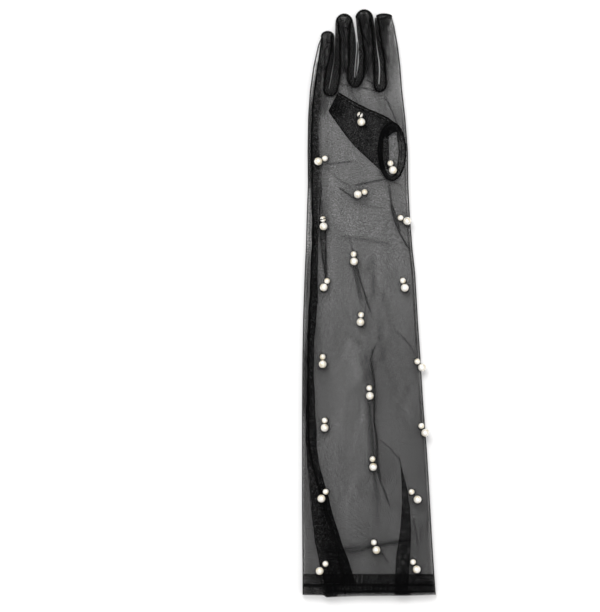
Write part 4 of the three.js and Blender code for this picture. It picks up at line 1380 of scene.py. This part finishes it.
def long_seams():
    """The cords along the side seam and the thumb, and the raw edges of their allowances."""
    y = np.arange(HEM_Y + 2, SIDE_SEAM_TOP, 1.6)
    side = np.stack([at(SIDE_SEAM, "line", y) + 0.3 * np.sin(y / 9), y], 1)
    parts = [tube(worked(on_back(side, -0.1), 0.9, 0.16), SEAM_CORD * 0.85)]
    flat = line_down(SIDE_SEAM, "left", y[y < -130])
    parts.append(tube(worked(on_back(flat, -0.5), 0.9, 0.1), THREAD))
    upper = rounded(THUMB_UPPER_EDGE)
    for offset, height, radius in ((0, 2.0, SEAM_CORD * 0.66), (3, 2.9, SEAM_CORD * 0.5)):
        line = beside(spaced(upper, 1.5), offset)
        parts.append(tube(worked(np.c_[line, np.full(len(line), height)]), radius))
    ring = oval(0.1, 120)
    z = at(SECTIONS, "floor", ring[:, 1]) + 0.5
    sway = 1 + 0.012 * np.sin(np.linspace(0, 2 * math.pi, 120, endpoint=False) * 31)
    ring = OVAL_CENTRE + (ring - OVAL_CENTRE) * sway[:, None]
    parts.append(tube(np.c_[ring, z], SEAM_CORD * 0.85, closed=True))
    inner = OVAL_CENTRE + (oval(-4.1, 120) - OVAL_CENTRE) * sway[:, None]
    parts.append(tube(np.c_[inner, z + 0.4], THREAD, closed=True))
    piece("long_seams", parts, BLACK_THREAD)


def hem_stitches():
    """Two rows of stitches round the opening, the second only on a part of its way."""
    parts = []
    rows = ((HEM["stitches_y"], -65, 65.2, THREAD * 1.3), (HEM["second_y"], -41, 51, THREAD))
    for row, left, right, radius in rows:
        for surface, above in ((on_back, 0.12), (on_palm, -0.12)):
            x = left
            while x < right:
                y = row + 0.25 * math.sin(x / 7) + 0.12 * math.sin(x * 2.1)
                line = np.stack([np.linspace(x, x + HEM["pitch"] * 0.86, 4), np.full(4, y)], 1)
                stitch = surface(line, above)
                stitch[[0, -1], 2] -= 0.25 * (1 if above > 0 else -1)
                parts.append(tube(stitch, radius))
                x += HEM["pitch"]
    piece("hem_stitches", parts, BLACK_THREAD)


# Pearls


def placed(made, place, along):
    """A ball moved to its place, its hole turned along a direction in the plane."""
    turn = math.atan2(along.y, along.x)
    c, s = math.cos(turn), math.sin(turn)
    points = made["points"] @ np.array([[c, s, 0], [-s, c, 0], [0, 0, 1]])
    return part(points + np.array(place), made["faces"], made["uv"])


def pearls():
    """All pearls, all beads, and the threads that run through each pair and down to the tulle."""
    pearl, bead = ball(PEARL), ball(BEAD)
    large, small, threads = [], [], []
    for pearl_place, bead_place in PEARL_PLACES:
        along = (bead_place - pearl_place).to_2d().normalized()
        large.append(placed(pearl, pearl_place, along))
        small.append(placed(bead, bead_place, along))
        ends = []
        for place, reach, way in ((bead_place, BEAD["radius"], 1), (pearl_place, PEARL["radius"], -1)):
            for out, lift in THREAD_ENDS:
                shift = way * (reach + out)
                flat = np.array([[place.x + along.x * shift, place.y + along.y * shift]])
                ground = back_sheet(flat)[0][0] + 0.1
                ends.append((*flat[0], ground + (place.z - ground) * lift))
        level = along.to_3d()
        inner = [tuple(bead_place + level * shift) for shift in THREAD_INSIDE["bead"]]
        inner += [tuple(pearl_place + level * shift) for shift in THREAD_INSIDE["pearl"]]
        path = [*ends[:3], *inner, *ends[3:][::-1]]
        threads.append(tube(rounded(np.array(path), 2), THREAD))
    for number, degrees in CROSSINGS:
        turn = math.radians(degrees)
        aside = Vector((math.cos(turn), math.sin(turn), 0)) * (BEAD["radius"] + 0.1)
        lift = Vector((0, 0, BEAD["radius"] + 0.1))
        turns = np.linspace(0.1, math.pi - 0.1, 14)
        arc = [PEARL_PLACES[number - 1][1] + aside * math.cos(t) + lift * math.sin(t) for t in turns]
        threads.append(tube(np.array([tuple(p) for p in arc]), THREAD * 2))
    numbers = [f"{i:02d}" for i in range(1, PAIRS + 1)]
    piece("pearls", large, PEARL_COAT, ["pearl_" + n for n in numbers])
    piece("beads", small, PEARL_COAT, ["bead_" + n for n in numbers])
    piece("pearl_threads", threads, BLACK_THREAD)


trank_tulle = trank()
fourchettes = [fourchette(name) for name in FINGER_GAPS]
thumb_tulle = thumb()
allowance = oval_allowance()
side_tulle = side_seam()
hem_tulle = hem()
finger_seams()
long_seams()
hem_stitches()
pearls()


# Floor, light and camera, in metres but for the view

FLOOR = {"half": 4.0, "below": 0.0003}
# Where the camera looks, how far off it stands, how much it sees across and how wide its sensor is, in mm.
VIEW = {"x": -69, "y": -3, "z": 8, "away": 5000, "frame": 612, "sensor": 36}


def stage_material():
    material, nodes, links, shader = new_material("pale_floor")
    grain = nodes.new("ShaderNodeTexNoise")
    grain.inputs["Scale"].default_value = 3
    colour = nodes.new("ShaderNodeMapRange")
    set_inputs(colour, {"To Min": 0.93, "To Max": 0.95})
    links.new(grain.outputs["Fac"], colour.inputs["Value"])
    links.new(colour.outputs["Result"], shader.inputs["Base Color"])
    set_inputs(shader, {"Roughness": 0.9, "Specular IOR Level": 0.0})
    return material


def stage():
    mesh = bpy.data.meshes.new("floor")
    size, z = FLOOR["half"], -FLOOR["below"]
    corners = [(-size, -size, z), (size, -size, z), (size, size, z), (-size, size, z)]
    mesh.from_pydata(corners, [], [(0, 1, 2, 3)])
    mesh.materials.append(stage_material())
    floor = bpy.data.objects.new("floor", mesh)
    bpy.context.scene.collection.objects.link(floor)


def light(name, place, size, watts):
    """A round lamp that points at the glove."""
    lamp = bpy.data.lights.new(name, "AREA")
    lamp.shape = "DISK"
    lamp.size = size
    lamp.energy = watts
    made = bpy.data.objects.new(name, lamp)
    made.location = place
    aim = Vector((0, 0, 0)) - Vector(place)
    made.rotation_euler = aim.to_track_quat("-Z", "Y").to_euler()
    bpy.context.scene.collection.objects.link(made)


def lights():
    """A studio that is white above and brown at the horizon, so the pearls get their rims, and two lamps."""
    world = bpy.data.worlds.new("studio")
    world.use_nodes = True
    tree = world.node_tree
    direction = tree.nodes.new("ShaderNodeTexCoord")
    parts = tree.nodes.new("ShaderNodeSeparateXYZ")
    sky = tree.nodes.new("ShaderNodeValToRGB")
    horizon, above = sky.color_ramp.elements
    horizon.position, horizon.color = 0.0, (0.16, 0.11, 0.06, 1)
    above.position, above.color = 0.6, (0.95, 0.95, 0.95, 1)
    for place, shade in ((0.9, 0.95), (0.95, 0.3)):
        sky.color_ramp.elements.new(place).color = (shade, shade, shade, 1)
    tree.links.new(direction.outputs["Generated"], parts.inputs[0])
    tree.links.new(parts.outputs["Z"], sky.inputs["Fac"])
    tree.links.new(sky.outputs["Color"], tree.nodes["Background"].inputs["Color"])
    tree.nodes["Background"].inputs["Strength"].default_value = 0.85
    bpy.context.scene.world = world
    light("softbox", place=(-0.35, 1.0, 2.4), size=1.3, watts=38)
    light("fill", place=(0.7, -0.5, 2.3), size=1.2, watts=9)


def camera():
    data = bpy.data.cameras.new("camera")
    data.sensor_width = VIEW["sensor"]
    data.lens = VIEW["sensor"] * VIEW["away"] / VIEW["frame"]
    data.clip_end = 50
    made = bpy.data.objects.new("camera", data)
    made.location = (VIEW["x"] * MM, VIEW["y"] * MM, (VIEW["z"] + VIEW["away"]) * MM)
    bpy.context.scene.collection.objects.link(made)
    bpy.context.scene.camera = made


stage()
lights()
camera()
scene = bpy.context.scene
scene.view_settings.view_transform = "Standard"
scene.cycles.transparent_max_bounces = 64
